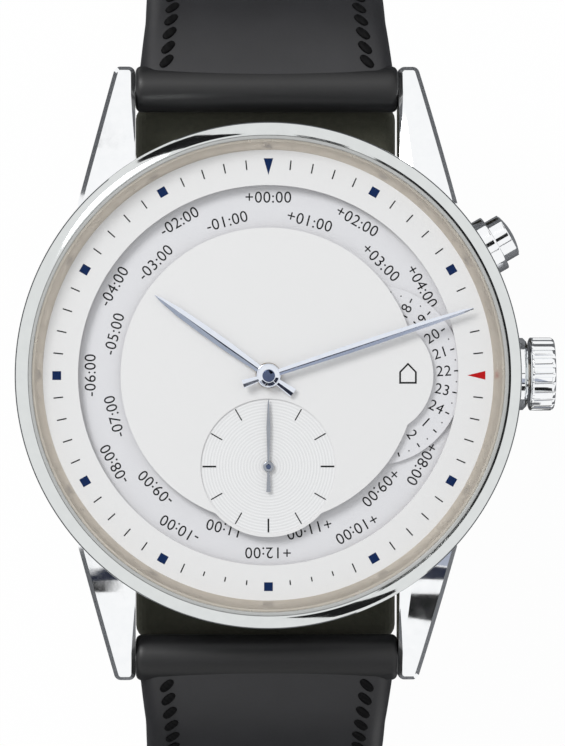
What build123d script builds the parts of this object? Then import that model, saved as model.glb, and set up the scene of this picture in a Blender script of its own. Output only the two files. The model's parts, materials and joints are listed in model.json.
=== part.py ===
from build123d import *
import math
import os

# World time wristwatch with a leather strap, lying dial up on its unbuckled strap.
# +Z is the dial's normal, +X points at 3 o'clock and +Y at 12 o'clock.
# The origin is the centre of the case back's outer face. Lengths are millimetres.

# Driving dimensions
case_radius = 19.95
bezel_width = 1.05
rehaut_land = 0.48
rehaut_lean = 0.65
bezel_inner_radius = case_radius - bezel_width
rehaut_top_radius = bezel_inner_radius - rehaut_land
dial_view_radius = rehaut_top_radius - rehaut_lean
movement_radius = 0.777 * case_radius
lug_reach = 1.2306 * case_radius
strap_width = 20.6
strap_side_gap = 0.2
short_strap_run = 15.0
running_gap = 0.03
part_gap = 0.1
over = 1.0

# Heights, stacked from the case back's outer face
back_flange = 1.0
back_spigot_rise = 0.7
back_glass_thick = 1.0
rotor_gap = 0.05
rotor_rim_thick = 0.85
rotor_web_thick = 0.3
bridge_gap = 0.25
bridge_thick = 0.8
train_height = 1.4
plate_thick = 1.4
works_height = 1.0
disc_thick = 0.22
dial_thick = 0.4
rehaut_height = 0.95
glass_edge = 0.65
glass_rise = 0.8
glass_hollow = 0.45

rotor_low = back_flange + back_spigot_rise + rotor_gap
rotor_high = rotor_low + rotor_rim_thick
bridge_low = rotor_high + bridge_gap
train_low = bridge_low + bridge_thick
plate_low = train_low + train_height
plate_high = plate_low + plate_thick
city_low = plate_high + works_height
city_high = city_low + disc_thick
hour24_low = city_high + part_gap
hour24_high = hour24_low + disc_thick
dial_low = hour24_high + part_gap
dial_high = dial_low + dial_thick
glass_seat = dial_high + rehaut_height
glass_top = glass_seat + glass_edge + glass_rise

# Case, bezel and lugs
bezel_foot = 2.25
bezel_low = glass_seat - bezel_foot
bezel_wall = 0.15
bezel_foot_inset = 0.25
bezel_wide_height = 1.15
bezel_crown_inset = 0.3
bezel_proud = 0.1
bezel_bulge = 0.12
bezel_mid_rise = 0.24
case_foot_radius = 0.8872 * case_radius
case_waist_radius = 0.9373 * case_radius
case_shoulder_radius = 0.9624 * case_radius
case_rim_radius = 0.9674 * case_radius
case_curve_shares = (0.3, 0.7)
ring_seat = 0.45
crown_height = 4.25
boss_radius = 2.88
boss_chamfer = 0.28
boss_end = 1.0351 * case_radius
boss_start = 0.8321 * case_radius
lug_wall = strap_width / 2 + strap_side_gap
lug_tip_width = 1.6
lug_tip_out = lug_wall + lug_tip_width
lug_base_out = 0.7544 * case_radius
lug_base_y = 0.6767 * case_radius
lug_hidden_out = 0.7018 * case_radius
lug_hidden_y = 0.4762 * case_radius
lug_corner = 0.55
lug_up_share = 0.5
lug_top_high = 7.0
lug_top_mid = 5.75
lug_tip_high = 2.75
lug_tip_low = 0.75
lug_foot_low = 1.3
lug_arch_low = 0.8
lug_mid_share = 0.6
lug_rim = 0.3
lug_rim_drop = 0.35
lug_bevel_root = 1.9
lug_bevel_tip_drop = 0.03
lug_bevel_drop = 0.7
bar_inset = 1.8
bar_y = lug_reach - bar_inset
bar_z = 2.3
bar_radius = 0.75
bar_tip_radius = 0.4
bar_tip_length = 0.9
bar_shoulder_gap = 0.15

# Case back
back_radius = 0.8622 * case_radius
back_spigot_radius = 0.792 * case_radius
back_window_radius = 0.6366 * case_radius
back_glass_radius = 0.6767 * case_radius
back_glass_gasket = 0.25
back_screw_count = 6
back_screw_circle = 0.8271 * case_radius
screw_head_radius = 0.62
screw_head_height = 0.45
screw_shank_radius = 0.35
screw_shank_length = 1.7
screw_slot = 0.2

# Crystal and the rings under it
gasket_wall = 0.3
glass_radius = bezel_inner_radius - gasket_wall
support_ring_inner = 0.807 * case_radius

# Dial
dial_ring_inner = 0.7519 * case_radius
centre_plate_radius = 0.584 * case_radius
home_lobe_radius = 0.2381 * case_radius
home_axis_x = 0.4145 * case_radius
seconds_rim_radius = 0.2792 * case_radius
seconds_dial_radius = 0.2687 * case_radius
seconds_axis_y = -0.3604 * case_radius
seconds_recess = 0.12
seconds_dial_thick = 0.2
centre_hole_radius = 0.0645 * movement_radius
seconds_hole_radius = 0.35
foot_radius = 0.5
foot_places_shares = ((-0.6, 0.32), (-0.6, -0.32), (-0.05, 0.76))

# Discs behind the dial
city_outer_radius = 0.792 * case_radius
city_inner_radius = 0.5313 * case_radius
hour24_radius = 0.3574 * case_radius
hour24_hub_radius = 0.0774 * movement_radius
hour24_post_radius = 0.0258 * movement_radius

# Hands, from tail to tip as shares of each hand's length and of its tail's half width
hour_hand_length = 0.5489 * case_radius
hour_hand_half = 0.3
hour_hand_shares = (
    (-0.218, 1.0), (-0.087, 0.67), (0.087, 0.73), (0.384, 1.03), (0.785, 0.87), (0.94, 0.43), (1.0, 0.07),
)
minute_hand_length = 0.8516 * case_radius
minute_hand_half = 0.28
minute_hand_shares = (
    (-0.125, 1.0), (-0.053, 0.64), (0.053, 0.71), (0.377, 0.93), (0.795, 0.71), (0.953, 0.36), (1.0, 0.07),
)
seconds_hand_length = 0.2652 * case_radius
seconds_hand_half = 0.17
seconds_hand_shares = (
    (-0.378, 1.0), (-0.095, 0.59), (0.095, 0.53), (0.586, 0.94), (0.926, 0.47), (1.0, 0.12),
)
hour_hand_turn = -305.3
minute_hand_turn = -71.4
hand_edge = 0.09
hand_ridge = 0.13
hour_hand_lift = 0.3
minute_hand_lift = 0.72
seconds_hand_lift = 0.14
hour_hub_radius = 0.0619 * movement_radius
minute_hub_radius = 0.0561 * movement_radius
seconds_hub_radius = 0.0271 * movement_radius
centre_pin_radius = 0.0245 * movement_radius
centre_pin_proud = 0.12
cannon_radius = 0.0323 * movement_radius
hour_pipe_inner = cannon_radius + part_gap / 2
hour_pipe_radius = 0.0503 * movement_radius
seconds_pin_radius = 0.0103 * movement_radius

# Gear teeth, as shares of the module and of the tooth pitch
addendum_share = 0.62
dedendum_share = 0.98
root_half_share = 0.27
tip_half_share = 0.1
centre_teeth = 60
third_pinion_teeth = 8
third_teeth = 64
fourth_pinion_teeth = 8
fourth_teeth = 60
escape_pinion_teeth = 6
barrel_teeth = 64
centre_pinion_teeth = 8
cannon_teeth = 12
minute_wheel_teeth = 36
minute_pinion_teeth = 10
hour_wheel_teeth = 40
hour_drive_teeth = 30
hour24_teeth = 60
escape_teeth = 15

# Gear train, axes as distance and direction from the centre
third_reach = 0.2742 * movement_radius
third_direction = -62.0
barrel_reach = 0.4355 * movement_radius
barrel_direction = 150.0
minute_wheel_reach = 0.1613 * movement_radius
minute_wheel_direction = 200.0
escape_reach = 0.2232 * movement_radius
escape_direction = 215.0
balance_x = -0.5161 * movement_radius
balance_y = -0.4516 * movement_radius
pallet_share = 0.46
escape_lean_share = 0.35
centre_window_share = 0.75
train_window_share = 0.7
wheel_hub_radius = 0.0581 * movement_radius
wheel_arm_turns = (0.0, 120.0, 240.0)
barrel_arbor_radius = 0.0387 * movement_radius
escape_arbor_radius = 0.0145 * movement_radius
arbor_radius = 0.0194 * movement_radius
pivot_radius = 0.0097 * movement_radius
pivot_length = 0.35
jewel_radius = 0.0323 * movement_radius
wheel_thick = 0.15
pinion_thick = 0.35
barrel_drum_radius = 0.3613 * movement_radius
barrel_thick = 0.6
balance_radius = 0.2581 * movement_radius
balance_rim = 0.0355 * movement_radius
balance_arm = 0.0323 * movement_radius
balance_thick = 0.3
balance_window = 0.3194 * movement_radius
hairspring_radius = 0.1419 * movement_radius
hairspring_start = 0.0355 * movement_radius
hairspring_turns = 9
hairspring_strip = 0.05
hairspring_height = 0.15
hairspring_steps = 12
roller_radius = 0.029 * movement_radius
escape_radius = 0.1226 * movement_radius
escape_hub = 0.0935 * movement_radius
pallet_arm = 0.0968 * movement_radius
pallet_stone = 0.0452 * movement_radius
pallet_thick = 0.15
fork_clear = 0.0613 * movement_radius
fork_half = 0.0145 * movement_radius
cock_width = 0.1419 * movement_radius
cock_reach = 0.329 * movement_radius
cock_foot_radius = 0.0581 * movement_radius
cock_foot_direction = 131.0
pallet_bridge_half = 0.1484 * movement_radius
pallet_bridge_width = 0.0516 * movement_radius
pallet_bridge_thick = 0.2
stud_radius = 0.0194 * movement_radius
plate_screw_circle = 0.9032 * movement_radius
plate_screw_turns = (20.0, 75.0, 125.0, 165.0, 290.0, 335.0)
plate_screw_head = 0.0452 * movement_radius
plate_screw_sunk = 0.35
plate_screw_shank = 0.0258 * movement_radius

# Winding rotor
rotor_radius = 0.9677 * movement_radius
rotor_inner_radius = 0.7419 * movement_radius
rotor_hub_radius = 0.1419 * movement_radius
rotor_axle_radius = 0.0581 * movement_radius
rotor_spoke_half = 0.071 * movement_radius
rotor_spoke_turns = (-62.0, 0.0, 62.0)
rotor_axle_head = 0.0839 * movement_radius
rotor_axle_head_thick = 0.15

# Crown and stem
crown_start = 1.0451 * case_radius
crown_length = 2.01
crown_end = crown_start + crown_length
crown_radius = 2.915
crown_flutes = 24
crown_flute_radius = 0.24
crown_flute_out = 0.08
crown_face_share = 0.5
crown_face_bulge = 0.15
crown_rim = 0.25
crown_bore = 1.35
crown_roof = 0.55
crown_tube_radius = 1.15
crown_tube_bore = 0.65
crown_tube_end = 1.0902 * case_radius
stem_radius = 0.45
stem_start = 0.6774 * movement_radius
stem_neck_radius = 0.28
stem_neck_start = 0.8 * movement_radius
stem_neck_length = 0.6
setting_lever_width = 2.4
setting_lever_thick = 0.4
crown_ring_wire = 0.2

# Pusher at 2 o'clock
pusher_turn = 30.0
pusher_travel = 0.8
pusher_collar_radius = 2.3
pusher_collar_start = 0.9023 * case_radius
pusher_collar_end = 1.0521 * case_radius
pusher_cap_radius = 1.8
pusher_cap_start = 1.0125 * case_radius
pusher_cap_end = 1.1128 * case_radius
pusher_dome = 0.32
pusher_well_radius = 1.45
pusher_well_start = 0.8471 * case_radius
pusher_body_radius = 1.7
pusher_stem_radius = 0.45
pusher_stem_start = 0.797 * case_radius
spring_wire = 0.13
spring_mean_radius = 1.1
spring_turns = 4

# Strap, drawn from the spring bar outward, then mirrored for the 6 o'clock half
strap_heading = -30.0
strap_lead = 2.5
shoulder_bend_radius = 15.0
shoulder_bend_turn = 60.0
short_bend_radius = 18.0
short_bend_turn = 130.0
long_drop = 3.0
long_side_radius = 90.0
long_side_turn = 10.0
long_corner_turn = 80.0
long_floor = 44.6
long_flat = 32.0
long_tail_radius = 70.0
long_tail_turn = 14.0
strap_neck_width = 0.94 * strap_width
strap_neck_length = 6.5
strap_end_width = 0.777 * strap_width
strap_split = 0.3
strap_lining = 0.6
strap_top_at_bar = 1.75
strap_top_at_case = 1.35
strap_top_at_end = 0.85
strap_pad_length = 12.0
strap_edge_share = 0.6
strap_bevel = 0.8
strap_roll_radius = 1.85
strap_roll_gap = 0.05
strap_step = 3.0
tail_point = 8.0
strap_cut = 8.0
hole_radius = 0.8
hole_pitch = 6.5
hole_from_end = 17.0
hole_count = 6
lining_start = 2.6

# Buckle
buckle_bar_radius = 0.6
buckle_roll_radius = 1.4
buckle_side_gap = 0.3
buckle_rail = 1.9
buckle_inner_half = strap_end_width / 2 + buckle_side_gap
buckle_outer_half = buckle_inner_half + buckle_rail
buckle_inner_reach = 8.3
buckle_outer_reach = 10.1
buckle_ear = 1.1
buckle_thick = 1.7
buckle_corner = 1.5
buckle_edge = 0.45
tongue_width = 1.7
prong_half = 0.64
prong_tip_half = 0.42
prong_tip_rise = 0.3
prong_overhang = 0.4
tongue_slot = 2.3
tongue_slot_depth = 2.4
tongue_thick = 0.8
tongue_hub_radius = 1.25
keeper_length = 4.0
keeper_wall = 0.9
keeper_room = 2.4
keeper_side_gap = 0.35
keeper_corner = 1.3
keeper_inner_corner = 0.5
fixed_keeper_from_end = 2.4
sliding_keeper_from_end = 8.4

upright = (Align.CENTER, Align.CENTER, Align.MIN)


def disc(radius, low, high, x=0, y=0):
    return Pos(x, y, low) * Cylinder(radius, high - low, align=upright)


def ring(outer, inner, low, high, x=0, y=0):
    return disc(outer, low, high, x, y) - disc(inner, low - over, high + over, x, y)


def prism(points, low, high):
    outline = make_face(Polyline(*points, close=True))
    return Pos(0, 0, low) * extrude(outline, high - low, dir=(0, 0, 1))


def block(x_low, x_high, y_low, y_high, z_low, z_high):
    corners = ((x_low, y_low), (x_high, y_low), (x_high, y_high), (x_low, y_high))
    return prism(corners, z_low, z_high)


def spun(*edges):
    return revolve(make_face(Plane.XZ * Wire(list(edges))), Axis.Z)


def polar(reach, turn):
    return reach * math.cos(math.radians(turn)), reach * math.sin(math.radians(turn))


def group(solids):
    return Compound(children=[solid for piece in solids for solid in piece.solids()])


def save(shape, node):
    export_step(shape, f"parts/{node}.step")


def radial_rod(radius, start, end, turn, height, bore=0):
    rod = Cylinder(radius, end - start, align=upright)
    if bore:
        rod -= Pos(0, 0, -over) * Cylinder(bore, end - start + 2 * over, align=upright)
    return Rot(0, 0, turn) * Pos(start, 0, height) * Rot(0, 90, 0) * rod


# Gear train layout, from the axes above
third_x, third_y = polar(third_reach, third_direction)
barrel_x, barrel_y = polar(barrel_reach, barrel_direction)
minute_wheel_x, minute_wheel_y = polar(minute_wheel_reach, minute_wheel_direction)
escape_offset_x, escape_offset_y = polar(escape_reach, escape_direction)
escape_x = escape_offset_x
escape_y = seconds_axis_y + escape_offset_y
pallet_x = escape_x + (balance_x - escape_x) * pallet_share
pallet_y = escape_y + (balance_y - escape_y) * pallet_share

# Levels of the wheels in the space between the plates
barrel_low = train_low + part_gap
third_wheel_low = barrel_low + barrel_thick + part_gap
centre_wheel_low = third_wheel_low + wheel_thick + part_gap * 2
fourth_wheel_low = barrel_low + pinion_thick / 2
escape_wheel_low = centre_wheel_low
balance_low = train_low + part_gap
balance_high = balance_low + balance_thick
hairspring_low = balance_high + part_gap / 2
pallet_bridge_low = hairspring_low + hairspring_height + part_gap / 2
pallet_low = pallet_bridge_low + pallet_bridge_thick + part_gap / 2

# Levels of the wheels between the main plate and the dial
cannon_wheel_low = plate_high + part_gap
hour_wheel_low = cannon_wheel_low + wheel_thick + part_gap
hour_drive_low = hour_wheel_low + wheel_thick + part_gap


def gear_module(distance, teeth, other_teeth):
    return 2 * distance / (teeth + other_teeth)


def gear(teeth, module, low, high, x, y, facing, on_gap=False):
    """One spur gear with a tooth, or a gap, on the line at angle facing."""
    pitch_radius = teeth * module / 2
    tip = pitch_radius + addendum_share * module
    root = pitch_radius - dedendum_share * module
    step = 2 * math.pi / teeth
    start = math.radians(facing) + (step / 2 if on_gap else 0)
    flanks = ((root, root_half_share), (tip, tip_half_share))
    corners = [(radius, -share) for radius, share in flanks]
    corners += flanks[::-1]
    points = []
    for index in range(teeth):
        for radius, share in corners:
            angle = start + (index + share) * step
            points.append((radius * math.cos(angle), radius * math.sin(angle)))
    return Pos(x, y, 0) * prism(points, low, high)


def direction(x_from, y_from, x_to, y_to):
    return math.degrees(math.atan2(y_to - y_from, x_to - x_from))


def arbor(x, y, radius=arbor_radius):
    """Shaft between the plates with a pivot into each."""
    shaft = disc(radius, train_low + part_gap / 2, plate_low - part_gap / 2, x, y)
    return shaft + disc(pivot_radius, train_low - pivot_length, plate_low + pivot_length, x, y)


def spoked(x, y, outer, low, high):
    """Three windows that leave a rim and three arms."""
    inner = wheel_hub_radius
    windows = ring(outer, inner, low - over, high + over)
    for turn in wheel_arm_turns:
        arm = block(0, outer + over, -inner / 2, inner / 2, low - 2 * over, high + 2 * over)
        windows -= Rot(0, 0, turn) * arm
    return Pos(x, y, 0) * windows


# Case


def case_wall():
    """Turned case middle with its bore and the seat for the dial support ring."""
    height = bezel_low - back_flange
    low_mid = back_flange + height * case_curve_shares[0]
    high_mid = back_flange + height * case_curve_shares[1]
    side = Spline(
        (case_foot_radius, back_flange),
        (case_waist_radius, low_mid),
        (case_shoulder_radius, high_mid),
        (case_rim_radius, bezel_low),
    )
    bore = movement_radius + ring_seat
    return spun(
        Line((bore, back_flange), (case_foot_radius, back_flange)),
        side,
        Line((case_rim_radius, bezel_low), (bore, bezel_low)),
        Line((bore, bezel_low), (bore, back_flange)),
    )


def lug():
    """One lug, at 12 o'clock on the 3 o'clock side."""
    plan = FilletPolyline(
        (lug_wall, lug_hidden_y),
        (lug_wall, lug_reach),
        (lug_tip_out, lug_reach),
        (lug_base_out, lug_base_y),
        (lug_hidden_out, lug_hidden_y),
        radius=lug_corner,
        close=True,
    )
    plan_solid = extrude(make_face(plan), glass_top, dir=(0, 0, 1))
    mid_y = lug_middle()
    top = ThreePointArc((lug_hidden_y, lug_top_high), (mid_y, lug_top_mid), (lug_reach, lug_tip_high))
    tip = Line((lug_reach, lug_tip_high), (lug_reach, lug_tip_low))
    foot = ThreePointArc((lug_reach, lug_tip_low), (mid_y, lug_arch_low), (lug_hidden_y, lug_foot_low))
    root = Line((lug_hidden_y, lug_foot_low), (lug_hidden_y, lug_top_high))
    side = make_face(Plane.YZ * Wire([top, tip, foot, root]))
    side_solid = extrude(side, lug_base_out + over, dir=(1, 0, 0))
    solid = plan_solid & side_solid
    top_face = solid.faces().sort_by(SortBy.AREA).filter_by(lambda f: f.normal_at().Z > lug_up_share)[-1]
    outer_edges = top_face.edges().filter_by(lambda e: e.center().X > lug_wall + part_gap)
    rim = outer_edges.filter_by(lambda e: e.center().Y > lug_hidden_y + over)
    return chamfer(rim, lug_rim_drop, lug_rim) - lug_inner_bevel()


def lug_middle():
    return lug_hidden_y + (lug_reach - lug_hidden_y) * lug_mid_share


def lug_inner_bevel():
    """Cut that leans the top's inner side, wide at the bezel and gone at the tip."""
    start = (lug_hidden_y, lug_top_high - lug_bevel_drop)
    middle = (lug_middle(), lug_top_mid - lug_bevel_drop * (1 - lug_mid_share))
    end = (lug_reach, lug_tip_high - lug_bevel_tip_drop)
    roof = lug_top_high + 3 * over
    edges = [
        ThreePointArc(start, middle, end),
        Line(end, (lug_reach + over, end[1])),
        Line((lug_reach + over, end[1]), (lug_reach + over, roof)),
        Line((lug_reach + over, roof), (lug_hidden_y - over, roof)),
        Line((lug_hidden_y - over, roof), (lug_hidden_y - over, start[1])),
        Line((lug_hidden_y - over, start[1]), start),
    ]
    lean = lug_bevel_drop / lug_bevel_root
    side = Pos(lug_wall - over, 0, -over * lean) * make_face(Plane.YZ * Wire(edges))
    return extrude(side, lug_tip_out + over, dir=(1, 0, lean))


def crown_boss():
    straight = boss_end - boss_start - boss_chamfer
    boss = Cylinder(boss_radius, straight, align=upright)
    cone = Pos(0, 0, straight) * Cone(boss_radius, boss_radius - boss_chamfer, boss_chamfer, align=upright)
    return Pos(boss_start, 0, crown_height) * Rot(0, 90, 0) * (boss + cone)


def bar_tips(radius):
    length = 2 * (lug_wall + bar_tip_length)
    rod = Rot(0, 90, 0) * Cylinder(radius, length)
    return [Pos(0, side * bar_y, bar_z) * rod for side in (1, -1)]


def case_middle():
    one = lug()
    lugs = one + mirror(one, Plane.YZ)
    lugs += mirror(lugs, Plane.XZ)
    roof = disc(case_radius + lug_reach, bezel_low, glass_top + over)
    body = case_wall() + (lugs - roof)
    body += crown_boss()
    bore = movement_radius + ring_seat
    body -= disc(bore, -over, bezel_low + over)
    body -= disc(back_radius + part_gap, -over, back_flange)
    for rod in bar_tips(bar_tip_radius + running_gap):
        body -= rod
    body -= radial_rod(crown_tube_radius, 0, crown_tube_end + over, 0, crown_height)
    body -= radial_rod(pusher_body_radius, 0, pusher_collar_end, pusher_turn, crown_height)
    collar_high = pusher_collar_end + over
    body -= radial_rod(pusher_collar_radius, pusher_collar_start, collar_high, pusher_turn, crown_height)
    for turn in screw_turns():
        x, y = polar(back_screw_circle, turn)
        body -= disc(screw_shank_radius, -over, screw_shank_length + screw_head_height + part_gap, x, y)
    return body


def bezel():
    inner = bezel_inner_radius - bezel_wall
    top_high = glass_seat + glass_edge + bezel_proud
    wide_high = bezel_low + bezel_wide_height
    crown_radius_at_top = bezel_inner_radius + bezel_crown_inset
    mid_radius = (crown_radius_at_top + case_radius) / 2 + bezel_bulge
    mid_high = (top_high + wide_high) / 2 + bezel_mid_rise
    return spun(
        Line((inner, bezel_low), (case_radius - bezel_foot_inset, bezel_low)),
        Line((case_radius - bezel_foot_inset, bezel_low), (case_radius, wide_high)),
        ThreePointArc((case_radius, wide_high), (mid_radius, mid_high), (crown_radius_at_top, top_high)),
        Line((crown_radius_at_top, top_high), (bezel_inner_radius, top_high - bezel_proud)),
        Line((bezel_inner_radius, top_high - bezel_proud), (bezel_inner_radius, glass_seat)),
        Line((bezel_inner_radius, glass_seat), (inner, glass_seat)),
        Line((inner, glass_seat), (inner, bezel_low)),
    )


def dome(radius, rim_high, rise):
    """Arc of a circle centred on the axis, from its top down to its rim."""
    curve = (radius ** 2 + rise ** 2) / (2 * rise)
    centre = rim_high + rise - curve
    middle = (radius / 2, centre + math.sqrt(curve ** 2 - (radius / 2) ** 2))
    return ThreePointArc((0, rim_high + rise), middle, (radius, rim_high))


def crystal():
    rim_high = glass_seat + glass_edge
    return spun(
        Line((0, glass_seat + glass_hollow), (0, glass_top)),
        dome(glass_radius, rim_high, glass_rise),
        Line((glass_radius, rim_high), (glass_radius, glass_seat)),
        dome(glass_radius, glass_seat, glass_hollow),
    )


def rehaut_ring():
    outer = bezel_inner_radius - bezel_wall
    return spun(
        Line((dial_view_radius, dial_high), (outer, dial_high)),
        Line((outer, dial_high), (outer, glass_seat)),
        Line((outer, glass_seat), (rehaut_top_radius, glass_seat)),
        Line((rehaut_top_radius, glass_seat), (dial_view_radius, dial_high)),
    )


# Case back


def screw_turns():
    return [index * 360 / back_screw_count for index in range(back_screw_count)]


def case_back():
    body = disc(back_radius, 0, back_flange)
    body += disc(back_spigot_radius, back_flange, back_flange + back_spigot_rise)
    body -= disc(back_window_radius, -over, back_flange + back_spigot_rise + over)
    body -= disc(back_glass_radius + back_glass_gasket, -over, back_glass_thick)
    for turn in screw_turns():
        x, y = polar(back_screw_circle, turn)
        body -= disc(screw_head_radius + running_gap, -over, screw_head_height, x, y)
        body -= disc(screw_shank_radius + running_gap, -over, back_flange + over, x, y)
    return body


def back_screw(turn):
    x, y = polar(back_screw_circle, turn)
    sunk = running_gap
    screw = disc(screw_head_radius, sunk, screw_head_height) + disc(
        screw_shank_radius, screw_head_height, screw_shank_length + screw_head_height
    )
    slot = block(-over, over, -screw_slot / 2, screw_slot / 2, -over, screw_head_height / 2)
    return Pos(x, y, 0) * Rot(0, 0, turn) * (screw - slot)


# Dial


def centre_plate():
    """Raised plate: main circle, home lobe at 3 o'clock and seconds circle at 6 o'clock."""
    body = disc(centre_plate_radius, dial_low, dial_high)
    body += disc(home_lobe_radius, dial_low, dial_high, home_axis_x, 0)
    body += disc(seconds_rim_radius, dial_low, dial_high, 0, seconds_axis_y)
    body -= disc(seconds_dial_radius, dial_low - over, dial_high + over, 0, seconds_axis_y)
    body -= disc(centre_hole_radius, dial_low - over, dial_high + over)
    for x_share, y_share in foot_places_shares:
        x, y = centre_plate_radius * x_share, centre_plate_radius * y_share
        body += disc(foot_radius, plate_high, dial_low, x, y)
    return body


def seconds_dial():
    high = dial_high - seconds_recess
    low = high - seconds_dial_thick
    body = disc(seconds_dial_radius, low, high, 0, seconds_axis_y)
    return body - disc(seconds_hole_radius, low - over, high + over, 0, seconds_axis_y)


def ridged_hand(shares, length, tail_half, low):
    """Hand along +Y with a ridge down its middle."""
    wires = []
    high = low + hand_edge
    for along_share, half_share in shares:
        along, half = along_share * length, half_share * tail_half
        ridge = high + hand_ridge * half_share
        points = [(-half, along, low), (half, along, low), (half, along, high)]
        points += [(0, along, ridge), (-half, along, high)]
        wires.append(Wire.make_polygon([Vector(*p) for p in points], close=True))
    return Solid.make_loft(wires, ruled=True)


def hand(blade, low, hub_radius, bore, turn):
    hub_high = low + hand_edge + hand_ridge
    body = blade + disc(hub_radius, low, hub_high)
    body -= disc(bore, low - over, hub_high + over)
    return Rot(0, 0, turn) * body


hour_hand_low = dial_high + hour_hand_lift
minute_hand_low = dial_high + minute_hand_lift
seconds_hand_low = dial_high + seconds_hand_lift


# Motion work between the main plate and the dial


def cannon_pinion():
    module = gear_module(minute_wheel_reach, cannon_teeth, minute_wheel_teeth)
    teeth = gear(cannon_teeth, module, plate_high + part_gap / 2, hour_wheel_low - part_gap / 2, 0, 0,
                 minute_wheel_direction)
    pipe = disc(cannon_radius, plate_high + part_gap / 2, minute_hand_low + hand_edge)
    return teeth + pipe - disc(centre_pin_radius, 0, glass_top)


def minute_wheel():
    module = gear_module(minute_wheel_reach, cannon_teeth, minute_wheel_teeth)
    pinion_module = gear_module(minute_wheel_reach, minute_pinion_teeth, hour_wheel_teeth)
    back = minute_wheel_direction + 180
    wheel_high = cannon_wheel_low + wheel_thick
    body = gear(minute_wheel_teeth, module, cannon_wheel_low, wheel_high, minute_wheel_x, minute_wheel_y,
                back, True)
    body += gear(minute_pinion_teeth, pinion_module, wheel_high, hour_wheel_low + wheel_thick,
                 minute_wheel_x, minute_wheel_y, back)
    return body - disc(stud_radius + running_gap, 0, glass_top, minute_wheel_x, minute_wheel_y)


def hour_wheel():
    module = gear_module(minute_wheel_reach, minute_pinion_teeth, hour_wheel_teeth)
    drive_module = gear_module(home_axis_x, hour_drive_teeth, hour24_teeth)
    body = gear(hour_wheel_teeth, module, hour_wheel_low, hour_wheel_low + wheel_thick, 0, 0,
                minute_wheel_direction, True)
    body += disc(hour_pipe_radius, hour_wheel_low, hour_hand_low + hand_edge)
    body += gear(hour_drive_teeth, drive_module, hour_drive_low, hour_drive_low + wheel_thick, 0, 0, 0)
    return body - disc(hour_pipe_inner, 0, glass_top)


def hour24_wheel():
    module = gear_module(home_axis_x, hour_drive_teeth, hour24_teeth)
    body = gear(hour24_teeth, module, hour_drive_low, hour_drive_low + wheel_thick, home_axis_x, 0, 180, True)
    body += disc(hour24_hub_radius, hour_drive_low, hour24_low, home_axis_x, 0)
    return body - disc(hour24_post_radius + running_gap, 0, glass_top, home_axis_x, 0)


# Gear train between the plates


def barrel():
    module = gear_module(barrel_reach, barrel_teeth, centre_pinion_teeth)
    high = barrel_low + barrel_thick
    body = disc(barrel_drum_radius, barrel_low, high, barrel_x, barrel_y)
    body += gear(barrel_teeth, module, barrel_low, barrel_low + pinion_thick, barrel_x, barrel_y,
                 barrel_direction + 180)
    return body + arbor(barrel_x, barrel_y, barrel_arbor_radius)


def centre_wheel():
    pinion_module = gear_module(barrel_reach, barrel_teeth, centre_pinion_teeth)
    module = gear_module(third_reach, centre_teeth, third_pinion_teeth)
    pin_high = minute_hand_low + hand_edge + hand_ridge + centre_pin_proud
    body = gear(centre_pinion_teeth, pinion_module, barrel_low, barrel_low + pinion_thick, 0, 0,
                barrel_direction, True)
    high = centre_wheel_low + wheel_thick
    body += gear(centre_teeth, module, centre_wheel_low, high, 0, 0, third_direction)
    body -= spoked(0, 0, third_reach * centre_window_share, centre_wheel_low, high)
    body += arbor(0, 0)
    return body + disc(centre_pin_radius, centre_wheel_low, pin_high)


def third_wheel():
    pinion_module = gear_module(third_reach, centre_teeth, third_pinion_teeth)
    to_fourth = math.hypot(third_x, third_y - seconds_axis_y)
    module = gear_module(to_fourth, third_teeth, fourth_pinion_teeth)
    facing = direction(third_x, third_y, 0, seconds_axis_y)
    high = third_wheel_low + wheel_thick
    body = gear(third_teeth, module, third_wheel_low, high, third_x, third_y, facing)
    body -= spoked(third_x, third_y, to_fourth * train_window_share, third_wheel_low, high)
    body += gear(third_pinion_teeth, pinion_module, high, plate_low - part_gap, third_x, third_y,
                 third_direction + 180, True)
    return body + arbor(third_x, third_y)


def fourth_wheel():
    to_third = math.hypot(third_x, third_y - seconds_axis_y)
    pinion_module = gear_module(to_third, third_teeth, fourth_pinion_teeth)
    module = gear_module(escape_reach, fourth_teeth, escape_pinion_teeth)
    facing = direction(0, seconds_axis_y, third_x, third_y)
    pin_high = seconds_hand_low + hand_edge + hand_ridge
    high = fourth_wheel_low + wheel_thick
    body = gear(fourth_teeth, module, fourth_wheel_low, high, 0, seconds_axis_y, escape_direction)
    body -= spoked(0, seconds_axis_y, escape_reach * train_window_share, fourth_wheel_low, high)
    body += gear(fourth_pinion_teeth, pinion_module, high, third_wheel_low + pinion_thick, 0, seconds_axis_y,
                 facing, True)
    body += arbor(0, seconds_axis_y)
    return body + disc(seconds_pin_radius, fourth_wheel_low, pin_high, 0, seconds_axis_y)


def escape_wheel():
    module = gear_module(escape_reach, fourth_teeth, escape_pinion_teeth)
    body = gear(escape_pinion_teeth, module, barrel_low, barrel_low + pinion_thick, escape_x, escape_y,
                escape_direction + 180, True)
    step = 2 * math.pi / escape_teeth
    points = []
    for index in range(escape_teeth):
        angle = index * step
        points.append((escape_hub * math.cos(angle), escape_hub * math.sin(angle)))
        lean = angle + escape_lean_share * step
        points.append((escape_radius * math.cos(lean), escape_radius * math.sin(lean)))
    body += Pos(escape_x, escape_y, 0) * prism(points, escape_wheel_low, escape_wheel_low + wheel_thick)
    return body + arbor(escape_x, escape_y, escape_arbor_radius)


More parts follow.
